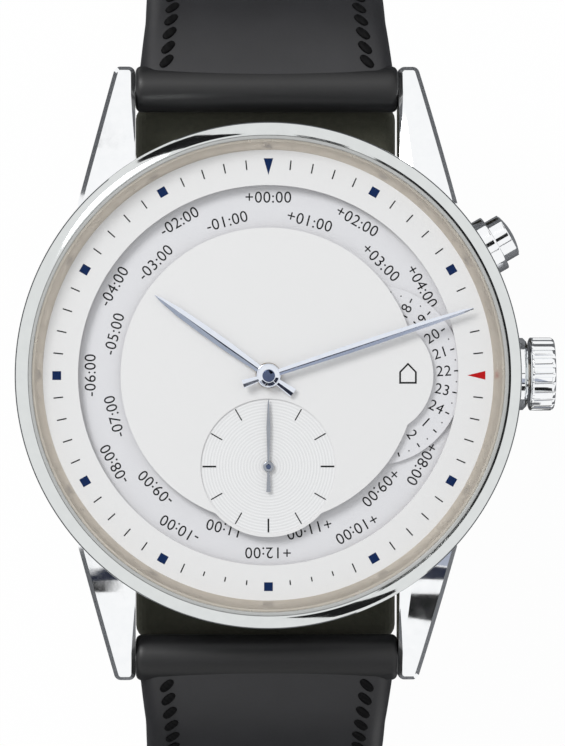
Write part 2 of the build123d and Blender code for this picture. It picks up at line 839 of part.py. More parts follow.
def pallet_fork():
    """Anchor with two stones and a forked tail that points at the balance."""
    high = pallet_low + pallet_thick
    to_balance = math.hypot(balance_x - pallet_x, balance_y - pallet_y)
    half = fork_half
    tail = block(0, to_balance - fork_clear, -half, half, pallet_low, high)
    arms = block(-half, half, -pallet_arm, pallet_arm, pallet_low, high)
    stones = block(-pallet_stone, half, pallet_arm - 2 * half, pallet_arm, pallet_low, high)
    stones += block(-pallet_stone, half, -pallet_arm, 2 * half - pallet_arm, pallet_low, high)
    fork = Rot(0, 0, direction(pallet_x, pallet_y, balance_x, balance_y)) * (tail + arms + stones)
    pin = disc(pivot_radius, pallet_bridge_low, plate_low + pivot_length)
    return Pos(pallet_x, pallet_y, 0) * (fork + pin)


def balance_wheel():
    rim = ring(balance_radius, balance_radius - balance_rim, balance_low, balance_high)
    reach = balance_radius - balance_rim / 2
    rim += block(-reach, reach, -balance_arm / 2, balance_arm / 2, balance_low, balance_high)
    rim += disc(arbor_radius, balance_low, plate_low - part_gap / 2)
    rim += disc(pivot_radius, train_low - pivot_length, plate_low + pivot_length)
    rim += disc(roller_radius, pallet_low, pallet_low + pallet_thick)
    return Pos(balance_x, balance_y, 0) * rim


def hairspring():
    """Flat spiral strip, drawn as two edges one strip width apart."""
    pitch = (hairspring_radius - hairspring_start) / hairspring_turns
    steps = hairspring_steps * hairspring_turns

    def spiral(offset):
        points = []
        for index in range(steps + 1):
            turns = index / hairspring_steps
            points.append(polar(hairspring_start + pitch * turns + offset, turns * 360))
        return points

    points = spiral(0) + spiral(hairspring_strip)[::-1]
    coil = prism(points, hairspring_low, hairspring_low + hairspring_height)
    collet_radius = hairspring_start + hairspring_strip
    collet = ring(collet_radius, arbor_radius, hairspring_low, hairspring_low + hairspring_height)
    return Pos(balance_x, balance_y, 0) * (coil + collet)


def balance_cock():
    body = Rot(0, 0, cock_foot_direction) * (
        block(0, cock_reach, -cock_width / 2, cock_width / 2, bridge_low, train_low - part_gap)
        + disc(cock_width / 2, bridge_low, train_low - part_gap)
        + disc(cock_foot_radius, bridge_low, plate_low, cock_reach, 0)
    )
    body -= disc(pivot_radius + running_gap, 0, plate_low)
    return Pos(balance_x, balance_y, 0) * body


def pallet_bridge():
    half = pallet_bridge_half
    low = pallet_bridge_low
    edge = pallet_bridge_width / 2
    bar = block(-edge, edge, -half, half, low, low + pallet_bridge_thick)
    for side in (1, -1):
        bar += disc(edge, low, plate_low, 0, side * half)
    bar -= disc(pivot_radius + running_gap, 0, plate_low + over)
    return Pos(pallet_x, pallet_y, 0) * Rot(0, 0, direction(pallet_x, pallet_y, balance_x, balance_y)) * bar


# Plates

jewel_places = (
    (third_x, third_y), (0, seconds_axis_y), (escape_x, escape_y), (0, 0), (barrel_x, barrel_y),
)


def three_quarter_plate():
    body = disc(movement_radius - part_gap, bridge_low, train_low)
    body -= disc(balance_window, 0, glass_top, balance_x, balance_y)
    edge_x, edge_y = polar(movement_radius, direction(0, 0, balance_x, balance_y))
    body -= disc(balance_window, 0, glass_top, edge_x, edge_y)
    foot_x, foot_y = polar(cock_reach, cock_foot_direction)
    body -= disc(cock_width, 0, glass_top, balance_x + foot_x, balance_y + foot_y)
    for x, y in jewel_places:
        body -= disc(jewel_radius, 0, glass_top, x, y)
    for turn in plate_screw_turns:
        x, y = polar(plate_screw_circle, turn)
        body -= disc(plate_screw_head, 0, train_low - plate_screw_sunk, x, y)
        body -= disc(plate_screw_shank, 0, glass_top, x, y)
    pillars = [polar(plate_screw_circle, turn) for turn in plate_screw_turns]
    for x, y in pillars:
        body += ring(plate_screw_head, plate_screw_shank, train_low, plate_low, x, y)
    return body


def plate_screws():
    screws = []
    for turn in plate_screw_turns:
        x, y = polar(plate_screw_circle, turn)
        head = disc(plate_screw_head - running_gap, bridge_low, train_low - plate_screw_sunk)
        head -= block(-over, over, -screw_slot / 2, screw_slot / 2, 0, bridge_low + screw_slot / 2)
        shank = disc(plate_screw_shank - running_gap, train_low - plate_screw_sunk, plate_low)
        screws.append(Pos(x, y, 0) * Rot(0, 0, turn) * (head + shank))
    return group(screws)


def jewels():
    bore = pivot_radius + running_gap
    low = train_low - pivot_length
    return group([ring(jewel_radius, bore, low, train_low, x, y) for x, y in jewel_places])


def main_plate():
    body = disc(movement_radius, plate_low, plate_high)
    pivots = [(third_x, third_y), (escape_x, escape_y), (barrel_x, barrel_y), (pallet_x, pallet_y),
              (balance_x, balance_y)]
    for x, y in pivots:
        body -= disc(pivot_radius + running_gap, 0, plate_low + pivot_length + part_gap, x, y)
    body -= disc(centre_pin_radius + running_gap, 0, glass_top)
    body -= disc(seconds_pin_radius + running_gap, 0, glass_top, 0, seconds_axis_y)
    body += disc(stud_radius, plate_high, hour_wheel_low + wheel_thick, minute_wheel_x, minute_wheel_y)
    return body + disc(hour24_post_radius, plate_high, hour24_low, home_axis_x, 0)


def movement_ring():
    outer = movement_radius + ring_seat
    body = ring(outer, movement_radius, bridge_low, plate_high)
    body -= radial_rod(stem_radius + part_gap, 0, case_radius, 0, crown_height)
    return body - radial_rod(pusher_stem_radius + part_gap, 0, case_radius, pusher_turn, crown_height)


def dial_support_ring():
    outer = bezel_inner_radius - bezel_wall
    return ring(outer, support_ring_inner, bezel_low, dial_low)


# Rotor


def rotor():
    rim = ring(rotor_radius, rotor_inner_radius, rotor_low, rotor_high)
    web = disc(rotor_hub_radius, rotor_high - rotor_web_thick, rotor_high)
    half = block(-case_radius, case_radius, -case_radius, 0, rotor_low - over, rotor_high + over)
    body = (rim & half) + web
    for turn in rotor_spoke_turns:
        spoke = block(-rotor_spoke_half, rotor_spoke_half, -rotor_inner_radius - rotor_spoke_half / 2, 0,
                      rotor_high - rotor_web_thick, rotor_high)
        body += Rot(0, 0, turn) * spoke
    return body - disc(rotor_axle_radius + running_gap, 0, glass_top)


def rotor_bearing():
    head_high = rotor_high - rotor_web_thick - part_gap / 2
    body = disc(rotor_axle_radius, head_high, bridge_low)
    return body + disc(rotor_axle_head, head_high - rotor_axle_head_thick, head_high)


# Crown and stem


def crown():
    straight = crown_end - crown_start - crown_rim
    body = Cylinder(crown_radius, straight, align=upright)
    body += Pos(0, 0, straight) * Cone(crown_radius, crown_radius - crown_rim, crown_rim, align=upright)
    bulge = (crown_radius ** 2 * crown_face_share + crown_face_bulge ** 2) / (2 * crown_face_bulge)
    face = Pos(0, 0, straight + crown_rim + crown_face_bulge - bulge) * Sphere(bulge)
    flat_radius = crown_radius - crown_rim
    body += face & (Pos(0, 0, straight + crown_rim) * Cylinder(flat_radius, over, align=upright))
    for index in range(crown_flutes):
        x, y = polar(crown_radius + crown_flute_out, index * 360 / crown_flutes)
        body -= Pos(x, y, crown_rim) * Cylinder(crown_flute_radius, crown_end - crown_start, align=upright)
    bore_length = crown_end - crown_start - crown_roof + over
    body -= Pos(0, 0, -over) * Cylinder(crown_bore, bore_length, align=upright)
    return Pos(crown_start, 0, crown_height) * Rot(0, 90, 0) * body


def winding_stem():
    roof = crown_end - crown_roof
    body = radial_rod(stem_radius, stem_start, roof, 0, crown_height)
    neck_end = stem_neck_start + stem_neck_length
    neck = radial_rod(stem_radius + over, stem_neck_start, neck_end, 0, crown_height, stem_neck_radius)
    return body - neck


def setting_lever():
    """Fork that sits in the stem's neck and pulls it in and out."""
    low = stem_neck_start + (stem_neck_length - setting_lever_thick) / 2
    high = low + setting_lever_thick
    half = stem_neck_radius + running_gap
    side = setting_lever_width / 2
    body = block(low, high, -side, side, train_low + part_gap, plate_low - part_gap)
    return body - block(low - over, high + over, -half, half, 0, crown_height + half)


def torus_ring(mean_radius, wire, start):
    return Pos(start, 0, crown_height) * Rot(0, 90, 0) * Torus(mean_radius, wire)


# Pusher


def pusher_tube():
    start = pusher_stem_start + part_gap
    body = Pos(0, 0, start) * Cylinder(pusher_body_radius, pusher_collar_end - start, align=upright)
    collar_length = pusher_collar_end - pusher_collar_start
    body += Pos(0, 0, pusher_collar_start) * Cylinder(pusher_collar_radius, collar_length, align=upright)
    cap_room = pusher_cap_start - pusher_travel - part_gap
    body -= Pos(0, 0, cap_room) * Cylinder(pusher_cap_radius + running_gap, pusher_collar_end, align=upright)
    body -= Pos(0, 0, pusher_well_start) * Cylinder(pusher_well_radius, pusher_collar_end, align=upright)
    body -= Cylinder(pusher_stem_radius + running_gap, pusher_collar_end, align=upright)
    return Rot(0, 0, pusher_turn) * Pos(0, 0, crown_height) * Rot(0, 90, 0) * body


def pusher_button():
    cap_length = pusher_cap_end - pusher_cap_start
    body = Pos(0, 0, pusher_cap_start) * Cylinder(pusher_cap_radius, cap_length, align=upright)
    bulge = (pusher_cap_radius ** 2 + pusher_dome ** 2) / (2 * pusher_dome)
    face = Pos(0, 0, pusher_cap_end + pusher_dome - bulge) * Sphere(bulge)
    body += face & (Pos(0, 0, pusher_cap_end) * Cylinder(pusher_cap_radius, over, align=upright))
    stem_length = pusher_cap_start - pusher_stem_start
    body += Pos(0, 0, pusher_stem_start) * Cylinder(pusher_stem_radius, stem_length, align=upright)
    return Rot(0, 0, pusher_turn) * Pos(0, 0, crown_height) * Rot(0, 90, 0) * body


def pusher_spring():
    """Coil round the stem, drawn one travel clear of the well's floor."""
    start = pusher_well_start + pusher_travel + spring_wire * 2
    height = pusher_cap_start - start - spring_wire
    pitch = height / spring_turns
    path = Helix(pitch=pitch, height=height, radius=spring_mean_radius)
    section = Plane(origin=path @ 0, z_dir=path % 0) * Circle(spring_wire)
    coil = sweep(section, path=path)
    return Rot(0, 0, pusher_turn) * Pos(0, 0, crown_height) * Rot(0, 90, 0) * Pos(0, 0, start) * coil


# Strap


def strap_path(bends):
    """Stations (y, z, heading, distance) along straight runs and clockwise bends from the spring bar."""
    y, z, heading, gone = bar_y, bar_z, strap_heading, 0.0
    stations = [(y, z, heading, gone)]
    for length, turn in bends:
        count = max(1, round(length / strap_step))
        for index in range(count):
            step_turn = turn / count
            chord = length / count
            if turn:
                half = math.radians(step_turn) / 2
                chord = length / count * math.sin(half) / half
            middle = math.radians(heading - step_turn / 2)
            y += chord * math.cos(middle)
            z += chord * math.sin(middle)
            heading -= step_turn
            gone += length / count
            stations.append((y, z, heading, gone))
    return stations


def bend(radius, turn):
    return radius * math.radians(turn), turn


def shoulder():
    return [(strap_lead, 0), bend(shoulder_bend_radius, shoulder_bend_turn)]


def short_path():
    return strap_path(shoulder() + [bend(short_bend_radius, short_bend_turn), (short_strap_run, 0)])


def long_path():
    side = shoulder() + [(long_drop, 0), bend(long_side_radius, long_side_turn)]
    y, z, heading, gone = strap_path(side)[-1]
    drop = z + long_floor
    corner_radius = drop / (1 - math.cos(math.radians(long_corner_turn)))
    tail = [bend(corner_radius, long_corner_turn), (long_flat, 0), bend(long_tail_radius, long_tail_turn)]
    return strap_path(side + tail)


def strap_half_width(gone, total):
    if gone < strap_neck_length:
        share = gone / strap_neck_length
        return (strap_width + (strap_neck_width - strap_width) * share) / 2
    share = min(1, (gone - strap_neck_length) / (total - strap_neck_length))
    return (strap_neck_width + (strap_end_width - strap_neck_width) * share) / 2


def strap_top(gone, total):
    if gone < strap_pad_length:
        share = gone / strap_pad_length
        return strap_top_at_bar + (strap_top_at_case - strap_top_at_bar) * share
    share = (gone - strap_pad_length) / (total - strap_pad_length)
    return strap_top_at_case + (strap_top_at_end - strap_top_at_case) * share


def station_plane(station):
    y, z, heading, _ = station
    angle = math.radians(heading)
    return Plane(origin=(0, y, z), x_dir=(1, 0, 0), z_dir=(0, -math.sin(angle), math.cos(angle)))


def strap_section(station, total, is_lining):
    half = strap_half_width(station[3], total)
    top = strap_top(station[3], total)
    if is_lining:
        outline = [(-half, -strap_split - strap_lining), (half, -strap_split - strap_lining),
                   (half, -strap_split), (-half, -strap_split)]
    else:
        edge = top * strap_edge_share
        outline = [(-half, -strap_split), (half, -strap_split), (half, edge), (half - strap_bevel, top),
                   (strap_bevel - half, top), (-half, edge)]
    plane = station_plane(station)
    points = [plane.from_local_coords(Vector(x, 0, n)) for x, n in outline]
    return Wire.make_polygon(points, close=True)


def strap_body(path, is_lining):
    total = path[-1][3]
    stations = [s for s in path if not is_lining or s[3] > lining_start]
    return Solid.make_loft([strap_section(s, total, is_lining) for s in stations])


def bar_rod(radius, half_length):
    return Pos(0, bar_y, bar_z) * Rot(0, 90, 0) * Cylinder(radius, 2 * half_length)


def strap_leather(path):
    body = strap_body(path, False)
    body += bar_rod(strap_roll_radius, strap_width / 2)
    return body - bar_rod(bar_radius + strap_roll_gap, strap_width)


def strap_lining_piece(path):
    return strap_body(path, True) - bar_rod(strap_roll_radius, strap_width)


def strap_holes(path):
    """Round holes through the tail of the long half."""
    total = path[-1][3]
    holes = []
    for index in range(hole_count):
        wanted = total - hole_from_end - index * hole_pitch
        station = station_at(path, wanted)
        holes.append(station_plane(station) * Cylinder(hole_radius, strap_cut))
    return holes


def station_at(path, wanted):
    """Station at a distance along the path, between the two nearest."""
    for first, second in zip(path, path[1:]):
        if first[3] <= wanted <= second[3]:
            share = (wanted - first[3]) / (second[3] - first[3])
            return tuple(a + (b - a) * share for a, b in zip(first, second))
    return path[-1]


def tail_corners(path):
    """What is cut off the end of the long half to leave its rounded point."""
    total = path[-1][3]
    half = strap_half_width(total - tail_point, total) + part_gap
    point = extrude(Ellipse(half, tail_point), strap_cut / 2, both=True)
    end = Pos(0, tail_point, 0) * Box(2 * strap_width, 2 * tail_point, strap_cut)
    return station_plane(station_at(path, total - tail_point)) * (end - point)


def strap_long_pieces():
    path = long_path()
    pieces = []
    for piece in (strap_leather(path), strap_lining_piece(path)):
        piece -= tail_corners(path)
        for hole in strap_holes(path):
            piece -= hole
        pieces.append(mirror(piece, Plane.XZ))
    return pieces


def short_end():
    return station_plane(short_path()[-1])


def strap_short_pieces():
    path = short_path()
    roll = Rot(0, 90, 0) * Cylinder(buckle_roll_radius, strap_end_width)
    bore = Rot(0, 90, 0) * Cylinder(buckle_bar_radius + running_gap, strap_width + over)
    slot = Box(tongue_slot, tongue_slot_depth * 2, strap_cut)
    end = short_end()
    leather = strap_leather(path) + end * roll - end * bore - end * slot
    lining = strap_lining_piece(path) - end * roll - end * bore - end * slot
    return leather, lining


def keeper(from_end):
    path = short_path()
    total = path[-1][3]
    centre = station_at(path, total - from_end - keeper_length / 2)
    half = strap_half_width(centre[3], total) + keeper_side_gap
    low = -strap_split - strap_lining - part_gap
    high = strap_top(centre[3], total) + keeper_room
    middle = (low + high) / 2
    outer = RectangleRounded(2 * (half + keeper_wall), high - low + 2 * keeper_wall, keeper_corner)
    inner = RectangleRounded(2 * half, high - low, keeper_inner_corner)
    band = extrude(outer - inner, keeper_length / 2, both=True)
    return station_plane(centre) * Pos(0, 0, middle) * Rot(90, 0, 0) * band


# Buckle


def buckle_frame():
    outer = RectangleRounded(2 * buckle_outer_half, buckle_outer_reach + buckle_ear, buckle_corner)
    inner = Rectangle(2 * buckle_inner_half, buckle_inner_reach + buckle_ear + over)
    shift = (buckle_outer_reach - buckle_ear) / 2
    inner_shift = (buckle_inner_reach - buckle_ear - over) / 2
    face = Pos(0, shift) * outer - Pos(0, inner_shift) * inner
    body = Pos(0, 0, -buckle_thick / 2) * extrude(face, buckle_thick)
    levels = body.edges().group_by(Axis.Z)
    body = fillet(levels[0] + levels[-1], buckle_edge)
    return short_end() * (body - buckle_bar_rod(running_gap))


def buckle_bar_rod(extra):
    length = 2 * buckle_outer_half - buckle_corner
    return Rot(0, 90, 0) * Cylinder(buckle_bar_radius + extra, length)


def buckle_tongue():
    """Prong that turns on the bar and lies on the frame's far side."""
    low = buckle_thick / 2 + part_gap
    high = low + tongue_thick
    tip = buckle_outer_reach + prong_overhang
    hub = Rot(0, 90, 0) * Cylinder(tongue_hub_radius, tongue_width)
    side = [(0, low), (buckle_outer_reach, low), (tip, low + prong_tip_rise)]
    side += [(buckle_outer_reach, high), (0, high)]
    profile = make_face(Plane.YZ * Polyline(*side, close=True))
    plan = [(-prong_half, 0), (prong_half, 0), (prong_tip_half, tip), (-prong_tip_half, tip)]
    prong = extrude(profile, tongue_width / 2, dir=(1, 0, 0), both=True) & prism(plan, 0, high + over)
    body = hub + prong
    body -= Rot(0, 90, 0) * Cylinder(buckle_bar_radius + running_gap, strap_width)
    return short_end() * body


def spring_bar(side):
    half = lug_wall - bar_shoulder_gap
    bar = Rot(0, 90, 0) * Cylinder(bar_radius, 2 * half)
    bar += Rot(0, 90, 0) * Cylinder(bar_tip_radius, 2 * (lug_wall + bar_tip_length - part_gap))
    return Pos(0, side * bar_y, bar_z) * bar


def build_case():
    save(case_middle(), "case_middle")
    save(bezel(), "bezel")
    save(crystal(), "crystal")
    save(ring(bezel_inner_radius, glass_radius, glass_seat, glass_seat + glass_edge), "crystal_gasket")
    save(rehaut_ring(), "rehaut_ring")
    save(case_back(), "case_back")
    save(disc(back_glass_radius, 0, back_glass_thick), "case_back_crystal")
    glass_outer = back_glass_radius + back_glass_gasket
    save(ring(glass_outer, back_glass_radius, 0, back_glass_thick), "case_back_gasket")
    save(group([back_screw(turn) for turn in screw_turns()]), "case_back_screws")
    save(spring_bar(1), "spring_bar_upper")
    save(spring_bar(-1), "spring_bar_lower")


def build_dial():
    outer = bezel_inner_radius - bezel_wall
    save(ring(outer, dial_ring_inner, dial_low, dial_high), "dial_ring")
    save(centre_plate(), "dial_centre_plate")
    save(seconds_dial(), "seconds_dial")
    save(dial_support_ring(), "dial_support_ring")
    save(ring(city_outer_radius, city_inner_radius, city_low, city_high), "city_disc")
    save(disc(hour24_radius, hour24_low, hour24_high, home_axis_x, 0), "hour24_disc")
    blade = ridged_hand(hour_hand_shares, hour_hand_length, hour_hand_half, hour_hand_low)
    save(hand(blade, hour_hand_low, hour_hub_radius, hour_pipe_radius, hour_hand_turn), "hour_hand")
    blade = ridged_hand(minute_hand_shares, minute_hand_length, minute_hand_half, minute_hand_low)
    save(hand(blade, minute_hand_low, minute_hub_radius, cannon_radius, minute_hand_turn), "minute_hand")
    blade = ridged_hand(seconds_hand_shares, seconds_hand_length, seconds_hand_half, seconds_hand_low)
    seconds = hand(blade, seconds_hand_low, seconds_hub_radius, seconds_pin_radius, 0)
    save(Pos(0, seconds_axis_y, 0) * seconds, "seconds_hand")


def build_movement():
    save(cannon_pinion(), "cannon_pinion")
    save(minute_wheel(), "minute_wheel")
    save(hour_wheel(), "hour_wheel")
    save(hour24_wheel(), "hour24_wheel")
    save(main_plate(), "main_plate")
    save(three_quarter_plate(), "three_quarter_plate")
    save(plate_screws(), "plate_screws")
    save(jewels(), "jewels")
    save(movement_ring(), "movement_ring")
    save(barrel(), "mainspring_barrel")
    save(centre_wheel(), "centre_wheel")
    save(third_wheel(), "third_wheel")
    save(fourth_wheel(), "fourth_wheel")
    save(escape_wheel(), "escape_wheel")
    save(pallet_fork(), "pallet_fork")
    save(pallet_bridge(), "pallet_bridge")
    save(balance_wheel(), "balance_wheel")
    save(hairspring(), "hairspring")
    save(balance_cock(), "balance_cock")
    save(rotor(), "winding_rotor")
    save(rotor_bearing(), "rotor_bearing")


def build_controls():
    save(crown(), "crown")
    save(winding_stem(), "winding_stem")
    save(setting_lever(), "setting_lever")
    tube_start = movement_radius + ring_seat
    tube = radial_rod(crown_tube_radius, tube_start, crown_tube_end, 0, crown_height, crown_tube_bore)
    save(tube, "crown_tube")
    ring_start = crown_start + crown_rim
    save(torus_ring(crown_bore - crown_ring_wire / 2, crown_ring_wire / 2, ring_start), "crown_gasket")
    save(pusher_tube(), "pusher_tube")
    save(pusher_button(), "pusher_button")
    save(pusher_spring(), "pusher_spring")


def build_strap():
    short_leather, short_lining = strap_short_pieces()
    long_leather, long_lining = strap_long_pieces()
    save(short_leather, "strap_short")
    save(short_lining, "strap_short_lining")
    save(long_leather, "strap_long")
    save(long_lining, "strap_long_lining")
    save(keeper(fixed_keeper_from_end), "fixed_keeper")
    save(keeper(sliding_keeper_from_end), "sliding_keeper")
    save(buckle_frame(), "buckle_frame")
    save(short_end() * buckle_bar_rod(0), "buckle_bar")
    save(buckle_tongue(), "buckle_tongue")


os.makedirs("parts", exist_ok=True)
build_case()
build_dial()
build_movement()
build_controls()
build_strap()
print("short strap end (y, z, heading, length):", [round(v, 3) for v in short_path()[-1]])
print("long strap end (y, z, heading, length):", [round(v, 3) for v in long_path()[-1]])
print("glass top:", round(glass_top, 3), "bezel foot at:", round(bezel_low, 3))
print("axes:", {name: (round(x, 3), round(y, 3)) for name, x, y in (
    ("third", third_x, third_y), ("barrel", barrel_x, barrel_y), ("escape", escape_x, escape_y),
    ("pallet", pallet_x, pallet_y), ("minute_wheel", minute_wheel_x, minute_wheel_y))})
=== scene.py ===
import json
import math

import bmesh
import bpy
from mathutils import Matrix, Vector


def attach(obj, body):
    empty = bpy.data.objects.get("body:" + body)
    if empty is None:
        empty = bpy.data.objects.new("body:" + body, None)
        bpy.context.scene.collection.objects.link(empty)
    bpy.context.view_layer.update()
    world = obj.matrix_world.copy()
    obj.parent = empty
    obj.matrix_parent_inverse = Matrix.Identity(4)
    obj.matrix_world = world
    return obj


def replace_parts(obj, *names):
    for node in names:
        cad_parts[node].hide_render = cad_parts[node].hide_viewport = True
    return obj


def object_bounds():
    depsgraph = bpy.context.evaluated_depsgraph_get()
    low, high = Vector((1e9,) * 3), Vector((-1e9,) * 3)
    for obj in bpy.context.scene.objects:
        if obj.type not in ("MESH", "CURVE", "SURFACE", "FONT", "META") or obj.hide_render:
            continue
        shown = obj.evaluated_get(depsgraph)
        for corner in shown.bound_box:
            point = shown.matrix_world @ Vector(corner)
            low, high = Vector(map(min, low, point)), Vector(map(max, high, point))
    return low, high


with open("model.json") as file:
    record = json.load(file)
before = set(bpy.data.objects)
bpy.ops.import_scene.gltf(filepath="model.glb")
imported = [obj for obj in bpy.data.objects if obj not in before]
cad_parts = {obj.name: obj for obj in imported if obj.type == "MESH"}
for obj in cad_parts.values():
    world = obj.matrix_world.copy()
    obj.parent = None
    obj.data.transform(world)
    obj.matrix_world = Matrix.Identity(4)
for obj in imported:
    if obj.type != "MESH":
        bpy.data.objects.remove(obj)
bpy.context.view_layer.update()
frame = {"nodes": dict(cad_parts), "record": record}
nodes = frame["nodes"]
mm = 0.001
smallDialCentre = (0, -7.19)
print("frame loaded:", len(nodes), "CAD nodes")

scene = bpy.context.scene
scene.view_settings.view_transform = "Standard"


# small helpers

def linear(hexColour):
    values = [int(hexColour[i:i + 2], 16) / 255 for i in (1, 3, 5)]
    return [v / 12.92 if v <= 0.04045 else ((v + 0.055) / 1.055) ** 2.4 for v in values] + [1.0]


def addNode(tree, kind, settings=None, links=None):
    node = tree.nodes.new(kind)
    for name, value in (settings or {}).items():
        if isinstance(name, str) and hasattr(node, name):
            setattr(node, name, value)
        else:
            node.inputs[name].default_value = value
    for name, source in (links or {}).items():
        tree.links.new(source, node.inputs[name])
    return node


def newMaterial(name):
    material = bpy.data.materials.new(name)
    material.use_nodes = True
    material.node_tree.nodes.clear()
    return material, material.node_tree


def finishMaterial(tree, shader):
    addNode(tree, "ShaderNodeOutputMaterial", {}, {"Surface": shader})


def placeObject(name, data, body, material=None):
    obj = bpy.data.objects.new(name, data)
    scene.collection.objects.link(obj)
    if material:
        obj.data.materials.append(material)
    if body:
        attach(obj, body)
    return obj


def meshFrom(name, points, faces):
    mesh = bpy.data.meshes.new(name)
    mesh.from_pydata([Vector(p) * mm for p in points], [], faces)
    mesh.update()
    return mesh


def shaded(mesh, angle):
    # smooth, but for edges where two faces meet at more than the angle, in degrees
    mesh.shade_smooth()
    mesh.set_sharp_from_angle(angle=math.radians(angle))
    return mesh


def cleaned(mesh):
    # points that meet are joined, and every face turned outwards
    work = bmesh.new()
    work.from_mesh(mesh)
    bmesh.ops.remove_doubles(work, verts=work.verts, dist=1e-7)
    bmesh.ops.recalc_face_normals(work, faces=work.faces)
    work.to_mesh(mesh)
    work.free()
    return mesh


def turned(name, profile, segments=256, centre=(0, 0), smoothAngle=25, fluteDepth=None):
    # a closed profile of (radius, height) in millimetres, turned about a vertical axis. Where a profile point
    # has a third value, that share of the flute's depth at each angle comes off its radius
    points, faces = [], []
    count = len(profile)
    for step in range(segments):
        angle = 2 * math.pi * step / segments
        for radius, height, *share in profile:
            if share:
                radius -= share[0] * fluteDepth(angle)
            points.append((centre[0] + radius * math.cos(angle), centre[1] + radius * math.sin(angle),
                           height))
    for step in range(segments):
        following = (step + 1) % segments
        for i in range(count):
            j = (i + 1) % count
            faces.append((step * count + i, following * count + i, following * count + j, step * count + j))
    return shaded(cleaned(meshFrom(name, points, faces)), smoothAngle)


filletLead = 1.4


def roundedProfile(corners, steps=5):
    # corners: (radius, height, fillet) in millimetres. Every fillet becomes a short arc of points, with one
    # point more on either side, at filletLead fillets from the corner, which keeps the shading even
    profile, count = [], len(corners)
    for i, (x, y, fillet) in enumerate(corners):
        if not fillet:
            profile.append((x, y))
            continue
        here = Vector((x, y))
        before = (Vector(corners[i - 1][:2]) - here).normalized()
        after = (Vector(corners[(i + 1) % count][:2]) - here).normalized()
        bend = [here + before * fillet * filletLead]
        for step in range(steps + 1):
            t = step / steps
            bend.append(here + before * fillet * (1 - t) ** 2 + after * fillet * t ** 2)
        profile += [(point.x, point.y) for point in bend + [here + after * fillet * filletLead]]
    return profile


def domeHeights(radius, rim, rise, steps=24):
    # points of a circular arc from its rim up to its top on the axis
    curve = (radius ** 2 + rise ** 2) / (2 * rise)
    centre = rim + rise - curve
    return [(radius * (1 - i / steps), centre + math.sqrt(curve ** 2 - (radius * (1 - i / steps)) ** 2))
            for i in range(steps + 1)]


def turnedAlong(name, profile, turn, height, segments=96, smoothAngle=30, fluteDepth=None):
    # the same profile turned about a level axis that points at turn degrees from 3 o'clock
    mesh = turned(name, profile, segments, smoothAngle=smoothAngle, fluteDepth=fluteDepth)
    mesh.transform(Matrix.Translation((0, 0, height * mm)) @ Matrix.Rotation(math.radians(turn), 4, "Z")
                   @ Matrix.Rotation(math.radians(90), 4, "Y"))
    return mesh


def plates(name, outlines, low, high):
    # flat printed marks: each outline is a list of (x, y) in millimetres, as a thin raised plate
    points, faces = [], []
    for outline in outlines:
        start, count = len(points), len(outline)
        points += [(x, y, low) for x, y in outline] + [(x, y, high) for x, y in outline]
        faces.append(tuple(start + i for i in reversed(range(count))))
        faces.append(tuple(start + count + i for i in range(count)))
        for i in range(count):
            j = (i + 1) % count
            faces.append((start + i, start + j, start + count + j, start + count + i))
    return meshFrom(name, points, faces)


def clockPoint(radius, turn, across=0.0, centre=(0, 0)):
    # turn in degrees clockwise from 12 o'clock, across to the right of the outward line
    a = math.radians(90 - turn)
    outward, right = (math.cos(a), math.sin(a)), (math.sin(a), -math.cos(a))
    return (centre[0] + outward[0] * radius + right[0] * across,
            centre[1] + outward[1] * radius + right[1] * across)


def tick(inner, outer, width, turn, centre=(0, 0)):
    half = width / 2
    return [clockPoint(inner, turn, -half, centre), clockPoint(inner, turn, half, centre),
            clockPoint(outer, turn, half, centre), clockPoint(outer, turn, -half, centre)]


lettering = {"capShare": 0.7, "film": 0.004, "spacing": 1.06}


def printedWords(name, words, capHeight, high, material, body):
    # words: (text, x, y, turn in degrees anticlockwise), in Blender's own sans
    parts = []
    for text, x, y, turn in words:
        curve = bpy.data.curves.new(name + "Line", "FONT")
        curve.body = text
        curve.size = capHeight / lettering["capShare"] * mm
        curve.align_x, curve.align_y = "CENTER", "CENTER"
        curve.extrude = lettering["film"] * mm
        curve.space_character = lettering["spacing"]
        holder = bpy.data.objects.new(name + "Line", curve)
        scene.collection.objects.link(holder)
        turnedLine = Matrix.Rotation(math.radians(turn), 4, "Z")
        holder.matrix_world = Matrix.Translation(Vector((x, y, high)) * mm) @ turnedLine
        parts.append(holder)
    bpy.context.view_layer.update()
    depsgraph = bpy.context.evaluated_depsgraph_get()
    work = bmesh.new()
    for holder in parts:
        line = bpy.data.meshes.new_from_object(holder.evaluated_get(depsgraph))
        line.transform(holder.matrix_world)
        work.from_mesh(line)
        bpy.data.meshes.remove(line)
    mesh = bpy.data.meshes.new(name)
    work.to_mesh(mesh)
    work.free()
    for holder in parts:
        data = holder.data
        bpy.data.objects.remove(holder)
        bpy.data.curves.remove(data)
    mesh.materials.clear()
    placeObject(name, mesh, body, material)


# materials

def mapped(tree, centre=(0, 0, 0), scale=(1, 1, 1)):
    coords = addNode(tree, "ShaderNodeTexCoord")
    return addNode(tree, "ShaderNodeMapping",
                   {"Location": [-c * mm * s for c, s in zip(centre, scale)], "Scale": scale},
                   {"Vector": coords.outputs["Object"]})


def noiseNode(tree, place, scale, detail):
    return addNode(tree, "ShaderNodeTexNoise", {"Scale": scale, "Detail": detail},
                   {"Vector": place.outputs["Vector"]})


def bumpNode(tree, height, depthMm, strength, below=None):
    # height is a socket, and below the coarser bump that this one lies on
    links = {"Height": height}
    if below:
        links["Normal"] = below.outputs["Normal"]
    return addNode(tree, "ShaderNodeBump", {"Distance": depthMm * mm, "Strength": strength}, links)


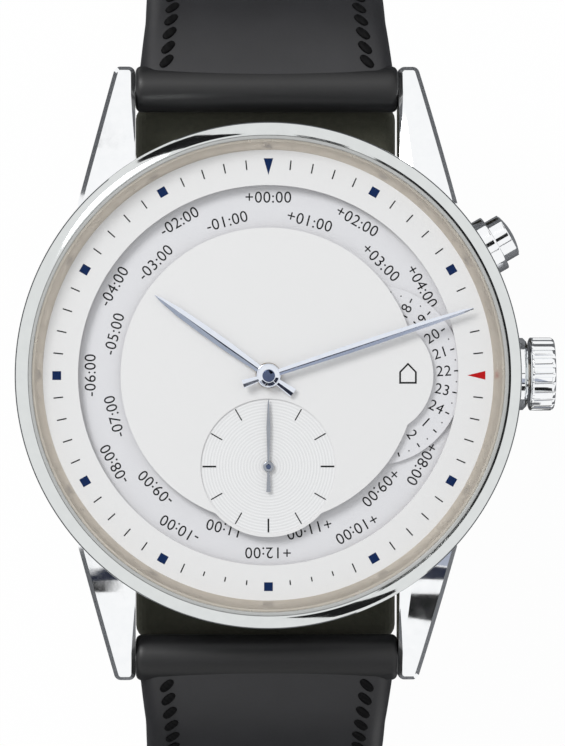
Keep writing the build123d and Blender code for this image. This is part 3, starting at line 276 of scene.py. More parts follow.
def grainBump(tree, scaleMm, depthMm, detail=3.0):
    # noise with cells of scaleMm, as a bump depthMm deep
    noise = noiseNode(tree, mapped(tree), 1 / (scaleMm * mm), detail)
    return noise, bumpNode(tree, noise.outputs["Fac"], depthMm, 1.0)


def mixedColour(tree, factor, low, high):
    mix = addNode(tree, "ShaderNodeMix", {"data_type": "RGBA"}, {0: factor})
    mix.inputs[6].default_value = linear(low)
    mix.inputs[7].default_value = linear(high)
    return mix.outputs[2]


def ranged(tree, value, low, high, fromLow=0.0, fromHigh=1.0):
    return addNode(tree, "ShaderNodeMapRange",
                   {"From Min": fromLow, "From Max": fromHigh, "To Min": low, "To Max": high},
                   {"Value": value}).outputs["Result"]


def principled(tree, settings, colour, bump, rough=None):
    links = {"Base Color": colour, "Normal": bump.outputs["Normal"]}
    if rough:
        links["Roughness"] = rough
    shader = addNode(tree, "ShaderNodeBsdfPrincipled", settings, links)
    finishMaterial(tree, shader.outputs["BSDF"])


def polishedSteel(name, tone, toneDark):
    # 316L stainless, mirror polished: clear reflections, with a faint swirl that only shows in highlights
    material, tree = newMaterial(name)
    noise, bump = grainBump(tree, 0.8, 0.0006)
    colour = mixedColour(tree, noise.outputs["Fac"], tone, toneDark)
    rough = ranged(tree, noise.outputs["Fac"], 0.035, 0.075, 0.3, 0.7)
    principled(tree, {"Metallic": 1.0}, colour, bump, rough)
    return material


def satinSteel():
    # 316L stainless, fine satin brushed: soft streaked reflections, a warm grey
    material, tree = newMaterial("satinBrushedSteel316L")
    place = mapped(tree, scale=(1, 1, 14))
    noise = noiseNode(tree, place, 900.0, 4.0)
    bump = bumpNode(tree, noise.outputs["Fac"], 0.004, 0.6)
    colour = mixedColour(tree, noise.outputs["Fac"], "#D5CDC2", "#C6BDB1")
    rough = ranged(tree, noise.outputs["Fac"], 0.22, 0.38)
    principled(tree, {"Metallic": 1.0}, colour, bump, rough)
    return material


def grained(name, tone, toneDark, grainMm, depthMm, settings, detail=3.0):
    # a finish with a fine even grain, which shades its colour and roughens its surface
    material, tree = newMaterial(name)
    noise, bump = grainBump(tree, grainMm, depthMm, detail)
    principled(tree, settings, mixedColour(tree, noise.outputs["Fac"], tone, toneDark), bump)
    return material


def lined(name, tone, toneDark, pitchMm, depthMm, strength, wave, settings, centre=(0, 0, 0)):
    # a finish of even lines pitchMm apart: grooves, ribs or the ply of a thread. A wave texture of scale 1
    # repeats every 0.314 metres
    material, tree = newMaterial(name)
    place = mapped(tree, centre)
    lines = addNode(tree, "ShaderNodeTexWave", dict(wave, Scale=0.314 / (pitchMm * mm)),
                    {"Vector": place.outputs["Vector"]})
    bump = bumpNode(tree, lines.outputs["Fac"], depthMm, strength)
    principled(tree, settings, mixedColour(tree, lines.outputs["Fac"], tone, toneDark), bump)
    return material


def silveredDial(name, tone, toneDark, grainMm, depthMm, roughness):
    # brass dial, galvanically silver plated and grained: an even white silver with a soft sheen
    return grained(name, tone, toneDark, grainMm, depthMm,
                   {"Metallic": 0.0, "Roughness": roughness, "IOR": 1.5})


def groovedDial():
    # the small seconds dial, turned with fine concentric grooves, 0.24 mm apart so that they show
    return lined("concentricGroovedSilverDial", "#DBD9D9", "#E7E5E5", 0.24, 0.012, 0.7,
                 {"wave_type": "RINGS", "rings_direction": "Z", "Distortion": 0.0},
                 {"Metallic": 0.0, "Roughness": 0.35, "IOR": 1.5}, smallDialCentre + (0,))


def padPrint(name, tone, toneDark):
    # pad-printed enamel ink: a thin, even, slightly soft edged film
    return grained(name, tone, toneDark, 0.05, 0.002, {"Metallic": 0.0, "Roughness": 0.45, "IOR": 1.25})


def platedBrass(name, tone, toneDark, stripeMm, roughness, depthMm):
    # machined brass, plated, with parallel ribbing across it
    return lined(name, tone, toneDark, stripeMm, depthMm, 0.6,
                 {"wave_type": "BANDS", "bands_direction": "DIAGONAL", "Distortion": 0.2},
                 {"Metallic": 1.0, "Roughness": roughness})


def bluedSteel():
    # screws and hairspring, heat blued: deep violet blue that varies with the oxide's depth
    return grained("heatBluedSteel", "#1C2F7A", "#2C2A73", 0.4, 0.001, {"Metallic": 1.0, "Roughness": 0.18})


def rubyJewel():
    # synthetic ruby bearing, polished: pink red with a glassy edge
    return grained("polishedSyntheticRuby", "#C2123F", "#E0325E", 0.3, 0.0005,
                   {"Metallic": 0.0, "Roughness": 0.06, "IOR": 1.76, "Transmission Weight": 0.35})


def sapphireCrystal():
    # domed sapphire with an anti-reflective coat: clear, with only a faint sheen at its rim
    material, tree = newMaterial("coatedSapphireCrystal")
    noise, bump = grainBump(tree, 6.0, 0.0004)
    clear = addNode(tree, "ShaderNodeBsdfTransparent", {"Color": (0.985, 0.99, 0.99, 1)})
    shader = addNode(tree, "ShaderNodeBsdfGlossy", {"Color": (1, 1, 1, 1), "Roughness": 0.02},
                     {"Normal": bump.outputs["Normal"]})
    edge = addNode(tree, "ShaderNodeLayerWeight", {"Blend": 0.5})
    steep = addNode(tree, "ShaderNodeMath", {"operation": "POWER", 1: 5.0}, {0: edge.outputs["Facing"]})
    sheen = addNode(tree, "ShaderNodeMath", {"operation": "MULTIPLY", 1: 0.45}, {0: steep.outputs["Value"]})
    mix = addNode(tree, "ShaderNodeMixShader", {},
                  {0: sheen.outputs["Value"], 1: clear.outputs["BSDF"], 2: shader.outputs["BSDF"]})
    finishMaterial(tree, mix.outputs["Shader"])
    return material


def nitrileSeal():
    # moulded nylon and nitrile seals: pale and matt
    return grained("mouldedNitrileSeal", "#B0B1AF", "#9FA09E", 0.12, 0.004,
                   {"Metallic": 0.0, "Roughness": 0.4, "IOR": 1.5})


def smoothLeather(name, tone, toneLight):
    # shell cordovan, glazed: almost grainless, deep black with a waxed sheen and faint rolls
    material, tree = newMaterial(name)
    place = mapped(tree)
    rolls = noiseNode(tree, place, 1 / (3.5 * mm), 3.0)
    pores = addNode(tree, "ShaderNodeTexVoronoi", {"Scale": 1 / (0.28 * mm)},
                    {"Vector": place.outputs["Vector"]})
    fine = noiseNode(tree, place, 1 / (0.16 * mm), 5.0)
    bump = bumpNode(tree, rolls.outputs["Fac"], 0.05, 0.35)
    bump = bumpNode(tree, pores.outputs["Distance"], 0.008, 0.3, bump)
    bump = bumpNode(tree, fine.outputs["Fac"], 0.006, 0.5, bump)
    colour = mixedColour(tree, rolls.outputs["Fac"], tone, toneLight)
    rough = ranged(tree, fine.outputs["Fac"], 0.38, 0.55)
    principled(tree, {"Metallic": 0.0, "IOR": 1.5}, colour, bump, rough)
    return material


def liningLeather():
    # vegetable tanned lining leather, brushed nubuck: dark olive brown with a dull nap
    return grained("brushedLiningLeather", "#2B2921", "#3A372C", 0.22, 0.03,
                   {"Metallic": 0.0, "Roughness": 0.85, "IOR": 1.45}, 6.0)


def waxedThread():
    # waxed linen thread, twisted: matt black with a fine ply
    return lined("waxedLinenThread", "#030304", "#0A0A0B", 0.3, 0.02, 0.8, {"bands_direction": "DIAGONAL"},
                 {"Metallic": 0.0, "Roughness": 0.7, "IOR": 1.2})


steel = polishedSteel("mirrorPolishedSteel316L", "#FAFBFC", "#F2F4F6")
# the bezel's polished steel is a greyer copy of the case steel: its tone is painted shade, the darker
# reflection the bezel shows
shadedBezelSteel = polishedSteel("polishedBezelSteelPaintedShade", "#DFE2E1", "#D5D8D8")
handSteel = polishedSteel("polishedBluishHandSteel", "#EEF0F8", "#E0E4EF")
# the seconds hand's steel is a darker copy of the hands' polished steel: its tone is painted shade on the
# thin hand
shadedSecondsSteel = polishedSteel("polishedSecondsHandPaintedShade", "#A3A6AE", "#94979F")
pinSteel = polishedSteel("darkPolishedPinSteel", "#59637F", "#4A5470")
satin = satinSteel()
dialSilver = silveredDial("grainedSilverPlatedDial", "#E3E1E1", "#DFDCDB", 0.09, 0.0025, 0.38)
discSilver = silveredDial("grainedSilverPlatedDisc", "#DDDBDD", "#D6D4D7", 0.12, 0.004, 0.42)
grooved = groovedDial()
inkBlack = padPrint("padPrintedGreyInk", "#111113", "#1A1A1C")
inkBlue = padPrint("padPrintedBlueEnamel", "#001C49", "#02224F")
inkRed = padPrint("padPrintedRedEnamel", "#AE070C", "#B80F14")
giltBrass = platedBrass("giltMachinedBrass", "#D8B25E", "#C79F4C", 0.15, 0.24, 0.002)
rhodium = platedBrass("rhodiumPlatedRibbedBrass", "#D5D4D2", "#BDBCBB", 1.6, 0.26, 0.02)
blued = bluedSteel()
ruby = rubyJewel()
sapphire = sapphireCrystal()
seal = nitrileSeal()
leather = smoothLeather("glazedCordovanLeather", "#1A1A1C", "#232326")
# the rolls at the spring bars take the same cordovan in a much darker tone: painted shade on the rolls that
# face the case
shadedRollLeather = smoothLeather("rolledLeatherPaintedShade", "#09090A", "#0F0F11")
lining = liningLeather()
thread = waxedThread()

slotMaterials = {
    "polished_steel": steel, "satin_steel": satin, "dial_silver": dialSilver, "disc_silver": discSilver,
    "brass": giltBrass, "rhodium_brass": rhodium, "blued_steel": blued, "ruby": ruby, "sapphire": sapphire,
    "gasket": seal, "leather": leather, "lining": lining,
}
ownMaterials = {
    "seconds_dial": grooved, "hour_hand": handSteel, "minute_hand": handSteel, "seconds_hand": shadedSecondsSteel,
}
slotOfNode = {entry["node"]: entry["material_slot"] for entry in frame["record"]["subparts"]}
for nodeName, obj in nodes.items():
    obj.data.materials.clear()
    obj.data.materials.append(ownMaterials.get(nodeName) or slotMaterials[slotOfNode[nodeName]])
print("materials made:", len(bpy.data.materials))


# case pieces turned smooth: the same sizes as the frame's, with the small polished edges of real ones

rings = {
    "low": 7.19, "foot": 19.7, "footRise": 0.4, "widest": 19.95, "sideTop": 9.4, "inner": 18.9, "lip": 10.092,
    "bore": 18.75, "seat": 9.44, "glass": 18.6, "glassEdge": 10.09, "rise": 0.8, "hollow": 0.45,
    "sealTop": 10.05, "sealFillet": 0.08, "flangeFoot": (17.77, 8.49), "flangeTop": (18.42, 18.39, 9.41),
    "slack": 0.01, "lipOut": 0.005, "glassBevel": (0.12, 0.08), "hollowInset": 0.02,
    # arcs of the bezel as (x, z, radius, first lean, last lean, steps): a rounded outer edge, then a slope
    # that leans 39 degrees outside and 20 inside. A narrow edge beside it leans in, down to the lip
    "bezelArcs": [(19.65, 9.457, 0.3, 90, 39, 8), (18.09, 7.53, 2.78, 39, 20, 14)],
}
bezelProfile = [(rings["bore"], rings["low"]), (rings["foot"], rings["low"]),
                (rings["widest"], rings["low"] + rings["footRise"]), (rings["widest"], rings["sideTop"])]
for arcX, arcZ, arcRadius, first, last, count in rings["bezelArcs"]:
    for i in range(count + 1):
        a = math.radians(first + (last - first) * i / count)
        bezelProfile.append((arcX + arcRadius * math.sin(a), arcZ + arcRadius * math.cos(a)))
bezelProfile += [(rings["inner"] + rings["lipOut"], rings["lip"]), (rings["inner"], rings["seat"]),
                 (rings["bore"], rings["seat"])]
# the bezel takes the greyer steel, its tone painted shade
bezel = placeObject("bezelRing", turned("bezelRing", bezelProfile, 360), "case", shadedBezelSteel)
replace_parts(bezel, "bezel")
bevelIn, bevelDown = rings["glassBevel"]
outerDome = domeHeights(rings["glass"] - bevelIn, rings["glassEdge"], rings["rise"])
innerDome = domeHeights(rings["glass"] - rings["hollowInset"], rings["seat"], rings["hollow"])
glassProfile = [(rings["glass"], rings["seat"]), (rings["glass"], rings["glassEdge"] - bevelDown)]
glassProfile += outerDome + innerDome[::-1]
glass = placeObject("domedCrystal", turned("domedCrystal", glassProfile, 256), "case", sapphire)
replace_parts(glass, "crystal")
sealOut, sealIn = rings["inner"] - rings["slack"], rings["glass"] + rings["slack"]
ringProfile = roundedProfile([(sealOut, rings["seat"], 0), (sealOut, rings["sealTop"], rings["sealFillet"]),
                              (sealIn, rings["sealTop"], rings["sealFillet"]), (sealIn, rings["seat"], 0)])
ringSeal = placeObject("crystalSeal", turned("crystalSeal", ringProfile, 256), "case", seal)
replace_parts(ringSeal, "crystal_gasket")
footRadius, footHeight = rings["flangeFoot"]
topRadius, edgeRadius, edgeHeight = rings["flangeTop"]
flangeProfile = [(footRadius, footHeight), (rings["bore"], footHeight), (rings["bore"], rings["seat"]),
                 (topRadius, rings["seat"]), (edgeRadius, edgeHeight)]
flange = placeObject("slopedFlange", turned("slopedFlange", flangeProfile, 256), "case", satin)
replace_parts(flange, "rehaut_ring")

# pusher, its collar and the crown, with their polished edges
pusher = {
    "cap": 1.8, "capLow": 20.2, "capHigh": 22.2, "dome": 0.32, "stem": 0.45, "stemLow": 15.9, "collar": 2.3,
    "collarLow": 18.0, "collarHigh": 20.99, "body": 1.7, "bodyLow": 16.0, "room": 1.83, "roomLow": 19.3,
    "well": 1.45, "wellLow": 16.9, "bore": 0.48, "axis": 4.25, "turn": 30,
    "capFillets": (0.1, 0.14), "collarFillets": (0.05, 0.14, 0.04), "rimRise": 0.03, "domeIn": 0.18,
    "domeUp": 0.05,
}
lowFillet, highFillet = pusher["capFillets"]
capCorners = [
    (0, pusher["stemLow"], 0), (pusher["stem"], pusher["stemLow"], 0), (pusher["stem"], pusher["capLow"], 0),
    (pusher["cap"], pusher["capLow"], lowFillet),
    (pusher["cap"], pusher["capHigh"] + pusher["rimRise"], highFillet),
]
capDome = domeHeights(pusher["cap"] - pusher["domeIn"], pusher["capHigh"] + pusher["domeUp"],
                      pusher["dome"] - pusher["domeUp"], 12)
capProfile = roundedProfile(capCorners)[:-1] + capDome
capMesh = turnedAlong("pusherCap", capProfile, pusher["turn"], pusher["axis"])
cap = placeObject("pusherCap", capMesh, "pusher", steel)
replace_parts(cap, "pusher_button")
lowFillet, highFillet, roomFillet = pusher["collarFillets"]
collarCorners = [
    (pusher["bore"], pusher["bodyLow"], 0), (pusher["body"], pusher["bodyLow"], 0),
    (pusher["body"], pusher["collarLow"], 0),
    (pusher["collar"], pusher["collarLow"], lowFillet), (pusher["collar"], pusher["collarHigh"], highFillet),
    (pusher["room"], pusher["collarHigh"], roomFillet), (pusher["room"], pusher["roomLow"], 0),
    (pusher["well"], pusher["roomLow"], 0),
    (pusher["well"], pusher["wellLow"], 0), (pusher["bore"], pusher["wellLow"], 0),
]
collarMesh = turnedAlong("pusherCollar", roundedProfile(collarCorners), pusher["turn"], pusher["axis"])
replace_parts(placeObject("pusherCollar", collarMesh, "case", steel), "pusher_tube")

crown = {
    "low": 20.85, "high": 22.86, "radius": 2.915, "bulge": 0.15, "bulgeIn": 0.26, "bore": 1.35, "roof": 0.55,
    "flutes": 24, "fluteRadius": 0.24, "fluteOut": 0.08,
    # both rims as (inwards, away from the end, share of the flutes' depth)
    "lowRim": ((0.2, 0, 0), (0.06, 0.06, 0), (0, 0.14, 0), (0, 0.3, 1), (0, 0.34, 1)),
    "highRim": ((0, 0.34, 1), (0.01, 0.27, 1), (0.1, 0.1, 0.5), (0.2, 0.02, 0)),
}


def crownFlute(angle):
    # depth of the round flute that is nearest to this angle
    pitch = 2 * math.pi / crown["flutes"]
    beside = (angle / pitch - round(angle / pitch)) * pitch * crown["radius"]
    room = crown["fluteRadius"] ** 2 - beside ** 2
    return max(0, math.sqrt(room) - crown["fluteOut"]) if room > 0 else 0


crownProfile = [(crown["bore"], crown["low"])]
for rim, end, way in (("lowRim", "low", 1), ("highRim", "high", -1)):
    for inwards, away, share in crown[rim]:
        crownProfile.append((crown["radius"] - inwards, crown[end] + way * away, share))
crownProfile += domeHeights(crown["radius"] - crown["bulgeIn"], crown["high"], crown["bulge"], 10)
crownProfile += [(0, crown["high"] - crown["roof"]), (crown["bore"], crown["high"] - crown["roof"])]
crownMesh = turnedAlong("crownCap", crownProfile, 0, pusher["axis"], crown["flutes"] * 16, 40, crownFlute)
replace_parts(placeObject("crownCap", crownMesh, "crown", steel), "crown")

# hands with a low polished ridge. The shares run from tail to tip, of the length and of the half width, and
# lower is the side of the ridge with the narrow dark fold, 1 for the right of the outward line
handShapes = {
    "hour_hand": {
        "low": 8.79, "length": 10.95, "half": 0.39, "turn": 305.3, "lower": -1, "centre": (0, 0),
        "hub": 0.96, "bore": 0.5,
        "shares": ((-0.218, 0.95), (-0.087, 0.67), (0.087, 0.73), (0.384, 1.03), (0.6, 1.0), (0.785, 0.87),
                   (0.94, 0.43), (1.0, 0.07)),
    },
    "minute_hand": {
        "low": 9.21, "length": 16.99, "half": 0.36, "turn": 71.8, "lower": 1, "centre": (0, 0),
        "hub": 0.87, "bore": 0.5,
        "shares": ((-0.125, 0.95), (-0.053, 0.64), (0.053, 0.71), (0.377, 0.93), (0.6, 0.86), (0.795, 0.71),
                   (0.953, 0.45), (1.0, 0.1)),
    },
    "seconds_hand": {
        "low": 8.63, "length": 5.29, "half": 0.17, "turn": 0, "lower": 1, "centre": smallDialCentre,
        "hub": 0.42, "bore": 0.16,
        "shares": ((-0.378, 1.0), (-0.095, 0.59), (0.095, 0.53), (0.586, 0.94), (0.926, 0.47), (1.0, 0.12)),
    },
}
handEdge, handRidge, foldSlope = 0.07, 0.22, 0.268
foldShares = ((0, 0.78), (0.45, 0.26), (0.7, 0.14), (1.1, 0.03))


def foldShare(along):
    # the share of the half width that the dark fold covers, from the table's first row that ends further out
    return next(reach for end, reach in foldShares if along < end)


for name, shape in handShapes.items():
    points, faces, low = [], [], shape["low"]
    for along, share in shape["shares"]:
        half, ridge = shape["half"] * share, low + handEdge + handRidge * shape["half"] * share
        fold = half * foldShare(along)
        section = [(-half, low), (half, low), (half, low + handEdge), (0, ridge), (-half, low + handEdge)]
        section.insert(3 if shape["lower"] > 0 else 4, (shape["lower"] * fold, ridge - foldSlope * fold))
        for across, height in section:
            x, y = clockPoint(along * shape["length"], shape["turn"], across, shape["centre"])
            points.append((x, y, height))
    last = len(shape["shares"]) - 1
    for row in range(last):
        for i in range(6):
            j = (i + 1) % 6
            faces.append((row * 6 + i, row * 6 + j, row * 6 + 6 + j, row * 6 + 6 + i))
    faces += [(5, 4, 3, 2, 1, 0), tuple(last * 6 + i for i in range(6))]
    # the seconds hand takes the darker steel, its tone painted shade
    steelOfHand = shadedSecondsSteel if name == "seconds_hand" else handSteel
    blade = placeObject(name + "Blade", meshFrom(name + "Blade", points, faces), name, steelOfHand)
    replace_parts(blade, name)
    high = low + handEdge + handRidge * shape["half"]
    hub = roundedProfile([(shape["bore"], low, 0), (shape["hub"], low, 0.02), (shape["hub"], high, 0.05),
                          (shape["bore"], high, 0)])
    placeObject(name + "Hub", turned(name + "Hub", hub, 96, shape["centre"]), name, steelOfHand)

# caps that close the hands' pipes, and the bright ring round the middle one
hubCaps = {
    "centrePinCap": {"radius": 0.5, "low": 9.43, "high": 9.62, "fillet": 0.06, "dome": 0.03, "steps": 64,
                     "centre": (0, 0), "body": "minute_hand"},
    "secondsPinCap": {"radius": 0.2, "low": 8.85, "high": 8.93, "fillet": 0.03, "dome": 0.01, "steps": 48,
                      "centre": smallDialCentre, "body": "seconds_hand"},
}
hubRing = [(0.5, 9.35), (0.85, 9.35), (0.85, 9.4), (0.8, 9.41), (0.55, 9.477), (0.5, 9.477)]


def hubCap(name):
    cap = hubCaps[name]
    corners = [(0, cap["low"], 0), (cap["radius"], cap["low"], 0),
               (cap["radius"], cap["high"], cap["fillet"]), (0, cap["high"] + cap["dome"], 0)]
    mesh = turned(name, roundedProfile(corners), cap["steps"], cap["centre"])
    placeObject(name, mesh, cap["body"], pinSteel)


hubCap("centrePinCap")
placeObject("hubRing", turned("hubRing", hubRing, 96, smoothAngle=8), "minute_hand", handSteel)
hubCap("secondsPinCap")
print("turned pieces ready")


# strap leather: padded, with rolled edges, drawn along the same path as the frame's strap

strap = {
    "barY": 22.75, "barZ": 2.3, "heading": -30.0, "lead": 2.5, "shoulder": (15.0, 60.0),
    "shortBend": (18.0, 130.0), "shortRun": 15.0, "drop": 3.0, "side": (90.0, 10.0), "cornerTurn": 80.0,
    "floor": 44.6, "flat": 32.0, "tail": (70.0, 14.0), "width": 20.6, "neckWidth": 19.364, "neck": 6.5,
    "endWidth": 16.006, "underside": -0.3, "edgeAcross": 1.6, "edgeShare": 0.75, "crownRise": 0.12,
    "footIn": 0.05, "sectionGap": 0.7, "point": 8.0, "slot": (1.15, 2.4, 3.0), "softTops": 9.0,
    "rollRadius": 1.85, "rollHalf": 10.49, "rollFillet": 0.6, "holeRadius": 0.8, "holePitch": 6.5,
    "holeFromEnd": 17.0, "holes": 6,
    "tops": ((0.0, 1.7), (1.2, 1.72), (2.4, 1.68), (3.6, 1.63), (5.0, 1.6), (9.0, 1.5), (14.0, 1.33)),
    "endTop": 0.85, "buckleRoll": (1.15, 8.003, 1.4, 0.3),
}


def bendLength(radius, turn):
    return radius * math.radians(turn), turn


def pathPoint(runs, wanted):
    # (y, z, heading) at a distance along straight runs and clockwise bends from the spring bar
    y, z, heading = strap["barY"], strap["barZ"], strap["heading"]
    for length, turn in runs:
        step = min(length, wanted)
        bent = turn * step / length
        chord = step
        if turn:
            half = math.radians(bent) / 2
            chord = step * math.sin(half) / half if half else step
        middle = math.radians(heading - bent / 2)
        y, z, heading = y + chord * math.cos(middle), z + chord * math.sin(middle), heading - bent
        wanted -= step
        if wanted <= 0:
            break
    return y, z, heading


shoulderRuns = [(strap["lead"], 0), bendLength(*strap["shoulder"])]
shortRuns = shoulderRuns + [bendLength(*strap["shortBend"]), (strap["shortRun"], 0)]
sideRuns = shoulderRuns + [(strap["drop"], 0), bendLength(*strap["side"])]
cornerStart = pathPoint(sideRuns, 1e6)
cornerRadius = (cornerStart[1] + strap["floor"]) / (1 - math.cos(math.radians(strap["cornerTurn"])))
longRuns = sideRuns + [bendLength(cornerRadius, strap["cornerTurn"]), (strap["flat"], 0)]
longRuns += [bendLength(*strap["tail"])]
shortTotal = sum(length for length, turn in shortRuns)
longTotal = sum(length for length, turn in longRuns)


def leatherTop(gone, total):
    tops = strap["tops"] + ((total, strap["endTop"]),)
    for (a, high), (b, low) in zip(tops, tops[1:]):
        if gone <= b:
            t = (gone - a) / (b - a)
            t = t * t * (3 - 2 * t) if b <= strap["softTops"] else t
            return high + (low - high) * t
    return strap["endTop"]


def leatherHalf(gone, total):
    if gone < strap["neck"]:
        return (strap["width"] + (strap["neckWidth"] - strap["width"]) * gone / strap["neck"]) / 2
    t = (gone - strap["neck"]) / (total - strap["neck"])
    return (strap["neckWidth"] + (strap["endWidth"] - strap["neckWidth"]) * t) / 2


def onStrap(runs, gone, x, height, side):
    y, z, heading = pathPoint(runs, gone)
    a = math.radians(heading)
    return (x, side * (y - height * math.sin(a)), z + height * math.cos(a))


def leatherMesh(name, runs, total, side, pointed):
    # cross sections along the path, each with rolled edges and a slightly crowned top
    count = int(total / strap["sectionGap"])
    places = [total * i / count for i in range(count + 1)]
    if pointed:
        places = [v for v in places if v < total - strap["point"]]
        places += [total - strap["point"] * (1 - math.sin(math.radians(a))) for a in range(0, 88, 6)]
    points, faces = [], []
    for gone in places:
        half = leatherHalf(gone, total)
        if pointed and gone > total - strap["point"]:
            half *= math.sqrt(1 - ((gone - total + strap["point"]) / strap["point"]) ** 2)
        top, low = leatherTop(gone, total), strap["underside"]
        across, fall = min(strap["edgeAcross"], half * 0.5), (top - low) * strap["edgeShare"]
        arc = [math.radians(15 * k) for k in range(7)]
        right = [(half - across + across * math.cos(a), top - fall + fall * math.sin(a)) for a in arc]
        crest = [(half * share, top + strap["crownRise"] * (1 - share ** 2)) for share in (0.6, 0.3)]
        left = [(-x, h) for x, h in reversed(right + crest)]
        foot = half - strap["footIn"]
        outline = [(foot, low)] + right + crest + [(0, top + strap["crownRise"])] + left + [(-foot, low)]
        points += [onStrap(runs, gone, x, h, side) for x, h in outline]
    ring = len(outline)
    for i in range(len(places) - 1):
        for j in range(ring):
            k = (j + 1) % ring
            face = (i * ring + j, i * ring + k, (i + 1) * ring + k, (i + 1) * ring + j)
            faces.append(face if side < 0 else face[::-1])
    end = (len(places) - 1) * ring
    faces += [tuple(range(ring)), tuple(end + j for j in range(ring))]
    return cleaned(meshFrom(name, points, faces))


def levelRod(name, radius, half, fillet, place, segments=64):
    # a rod along the 3 to 9 o'clock line, with rounded ends
    corners = [(0, -half, 0), (radius, -half, fillet), (radius, half, fillet), (0, half, 0)]
    mesh = turned(name, roundedProfile(corners), segments, smoothAngle=60)
    mesh.transform(place @ Matrix.Rotation(math.radians(90), 4, "Y"))
    return mesh


def boxBetween(xs, ys, zs):
    # corners and faces of a box, for cutters and pads
    corners = [(x, y, z) for x in xs for y in sorted(ys) for z in zs]
    return corners, [(0, 1, 3, 2), (4, 6, 7, 5), (0, 4, 5, 1), (2, 3, 7, 6), (0, 2, 6, 4), (1, 5, 7, 3)]


def cutWith(obj, cutters):
    for cutter in cutters:
        modifier = obj.modifiers.new("cut", "BOOLEAN")
        modifier.operation, modifier.solver, modifier.object = "DIFFERENCE", "EXACT", cutter
    bpy.context.view_layer.update()
    finished = bpy.data.meshes.new_from_object(obj.evaluated_get(bpy.context.evaluated_depsgraph_get()))
    obj.modifiers.clear()
    obj.data = finished
    for cutter in cutters:
        bpy.data.objects.remove(cutter)


def planeMatrix(runs, gone, side):
    y, z, heading = pathPoint(runs, gone)
    a = math.radians(heading)
    normal = Vector((0, -math.sin(a) * side, math.cos(a)))
    along = Vector((0, math.cos(a) * side, math.sin(a)))
    x = along.cross(normal)
    turn = Matrix((x, along, normal)).transposed().to_4x4()
    return Matrix.Translation(Vector((0, side * y, z)) * mm) @ turn


strapHalves = (("strap_short", shortRuns, shortTotal, 1), ("strap_long", longRuns, longTotal, -1))
for name, runs, total, side in strapHalves:
    half = leatherMesh(name + "Leather", runs, total, side, side < 0)
    obj = placeObject(name + "Leather", half, name, leather)
    cutters = []
    if side < 0:
        for i in range(strap["holes"]):
            mesh = turned("hole", [(0, -3), (strap["holeRadius"], -3), (strap["holeRadius"], 3), (0, 3)], 32)
            mesh.transform(planeMatrix(runs, total - strap["holeFromEnd"] - i * strap["holePitch"], side))
            cutters.append(placeObject("hole", mesh, None))
    else:
        across, along, through = strap["slot"]
        mesh = meshFrom("slot", *boxBetween((-across, across), (-along, along), (-through, through)))
        mesh.transform(planeMatrix(runs, total, side))
        cutters.append(placeObject("slot", mesh, None))
    cutWith(obj, cutters)
    shaded(obj.data, 40)
    bar = Matrix.Translation(Vector((0, side * strap["barY"], strap["barZ"])) * mm)
    roll = levelRod(name + "Roll", strap["rollRadius"], strap["rollHalf"], strap["rollFillet"], bar)
    # the roll's darker leather is painted shade
    placeObject(name + "Roll", roll, name, shadedRollLeather)
    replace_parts(obj, name)
rollFrom, rollTo, rollRadius, rollFillet = strap["buckleRoll"]
for side in (-1, 1):
    middle, half = side * (rollFrom + rollTo) / 2, (rollTo - rollFrom) / 2
    place = planeMatrix(shortRuns, shortTotal, 1) @ Matrix.Translation((middle * mm, 0, 0))
    mesh = levelRod("buckleRoll", rollRadius, half, rollFillet, place, 48)
    placeObject("buckleRollLeft" if side < 0 else "buckleRollRight", mesh, "strap_short", leather)

# saddle stitches, slanted, in a sunk line along both edges
stitch = {"pitch": 1.3, "length": 1.45, "thick": 0.75, "inset": 2.15, "slant": 40.0, "start": 1.55,
          "rise": 0.2, "plump": 0.7, "tip": 0.12, "shortEnd": 14.5, "longEnd": 9.0}


def stitchRow(name, runs, total, side, last):
    points, faces = [], []
    halfThick, halfLong = stitch["thick"] / 2, stitch["length"] / 2
    gone = stitch["start"]
    while gone < last:
        for edge in (-1, 1):
            x = edge * (leatherHalf(gone, total) - stitch["inset"])
            high = leatherTop(gone, total) + strap["crownRise"] * (1 - (x / leatherHalf(gone, total)) ** 2)
            place = planeMatrix(runs, gone, side) @ Matrix.Translation(Vector((x, 0, high)) * mm)
            place = place @ Matrix.Rotation(math.radians(stitch["slant"] * edge * side), 4, "Z")
            start = len(points)
            for i in range(7):
                a = math.pi * i / 6
                r = math.sin(a) ** stitch["plump"] if 0 < i < 6 else stitch["tip"]
                for j in range(8):
                    c = 2 * math.pi * j / 8
                    local = Vector((halfThick * r * math.cos(c), -halfLong * math.cos(a),
                                    stitch["rise"] * r * math.sin(c)))
                    points.append((place @ (local * mm)) / mm)
            for i in range(6):
                ring = start + i * 8
                for j in range(8):
                    k = (j + 1) % 8
                    faces.append((ring + j, ring + k, ring + 8 + k, ring + 8 + j))
            faces += [tuple(start + j for j in reversed(range(8))), tuple(start + 48 + j for j in range(8))]
        gone += stitch["pitch"]
    body = "strap_short" if side > 0 else "strap_long"
    placeObject(name, shaded(meshFrom(name, points, faces), 80), body, thread)


stitchRow("stitchingShort", shortRuns, shortTotal, 1, shortTotal - stitch["shortEnd"])
stitchRow("stitchingLong", longRuns, longTotal, -1, longTotal - stitch["longEnd"])
print("strap ready")


# printing on the outer dial ring

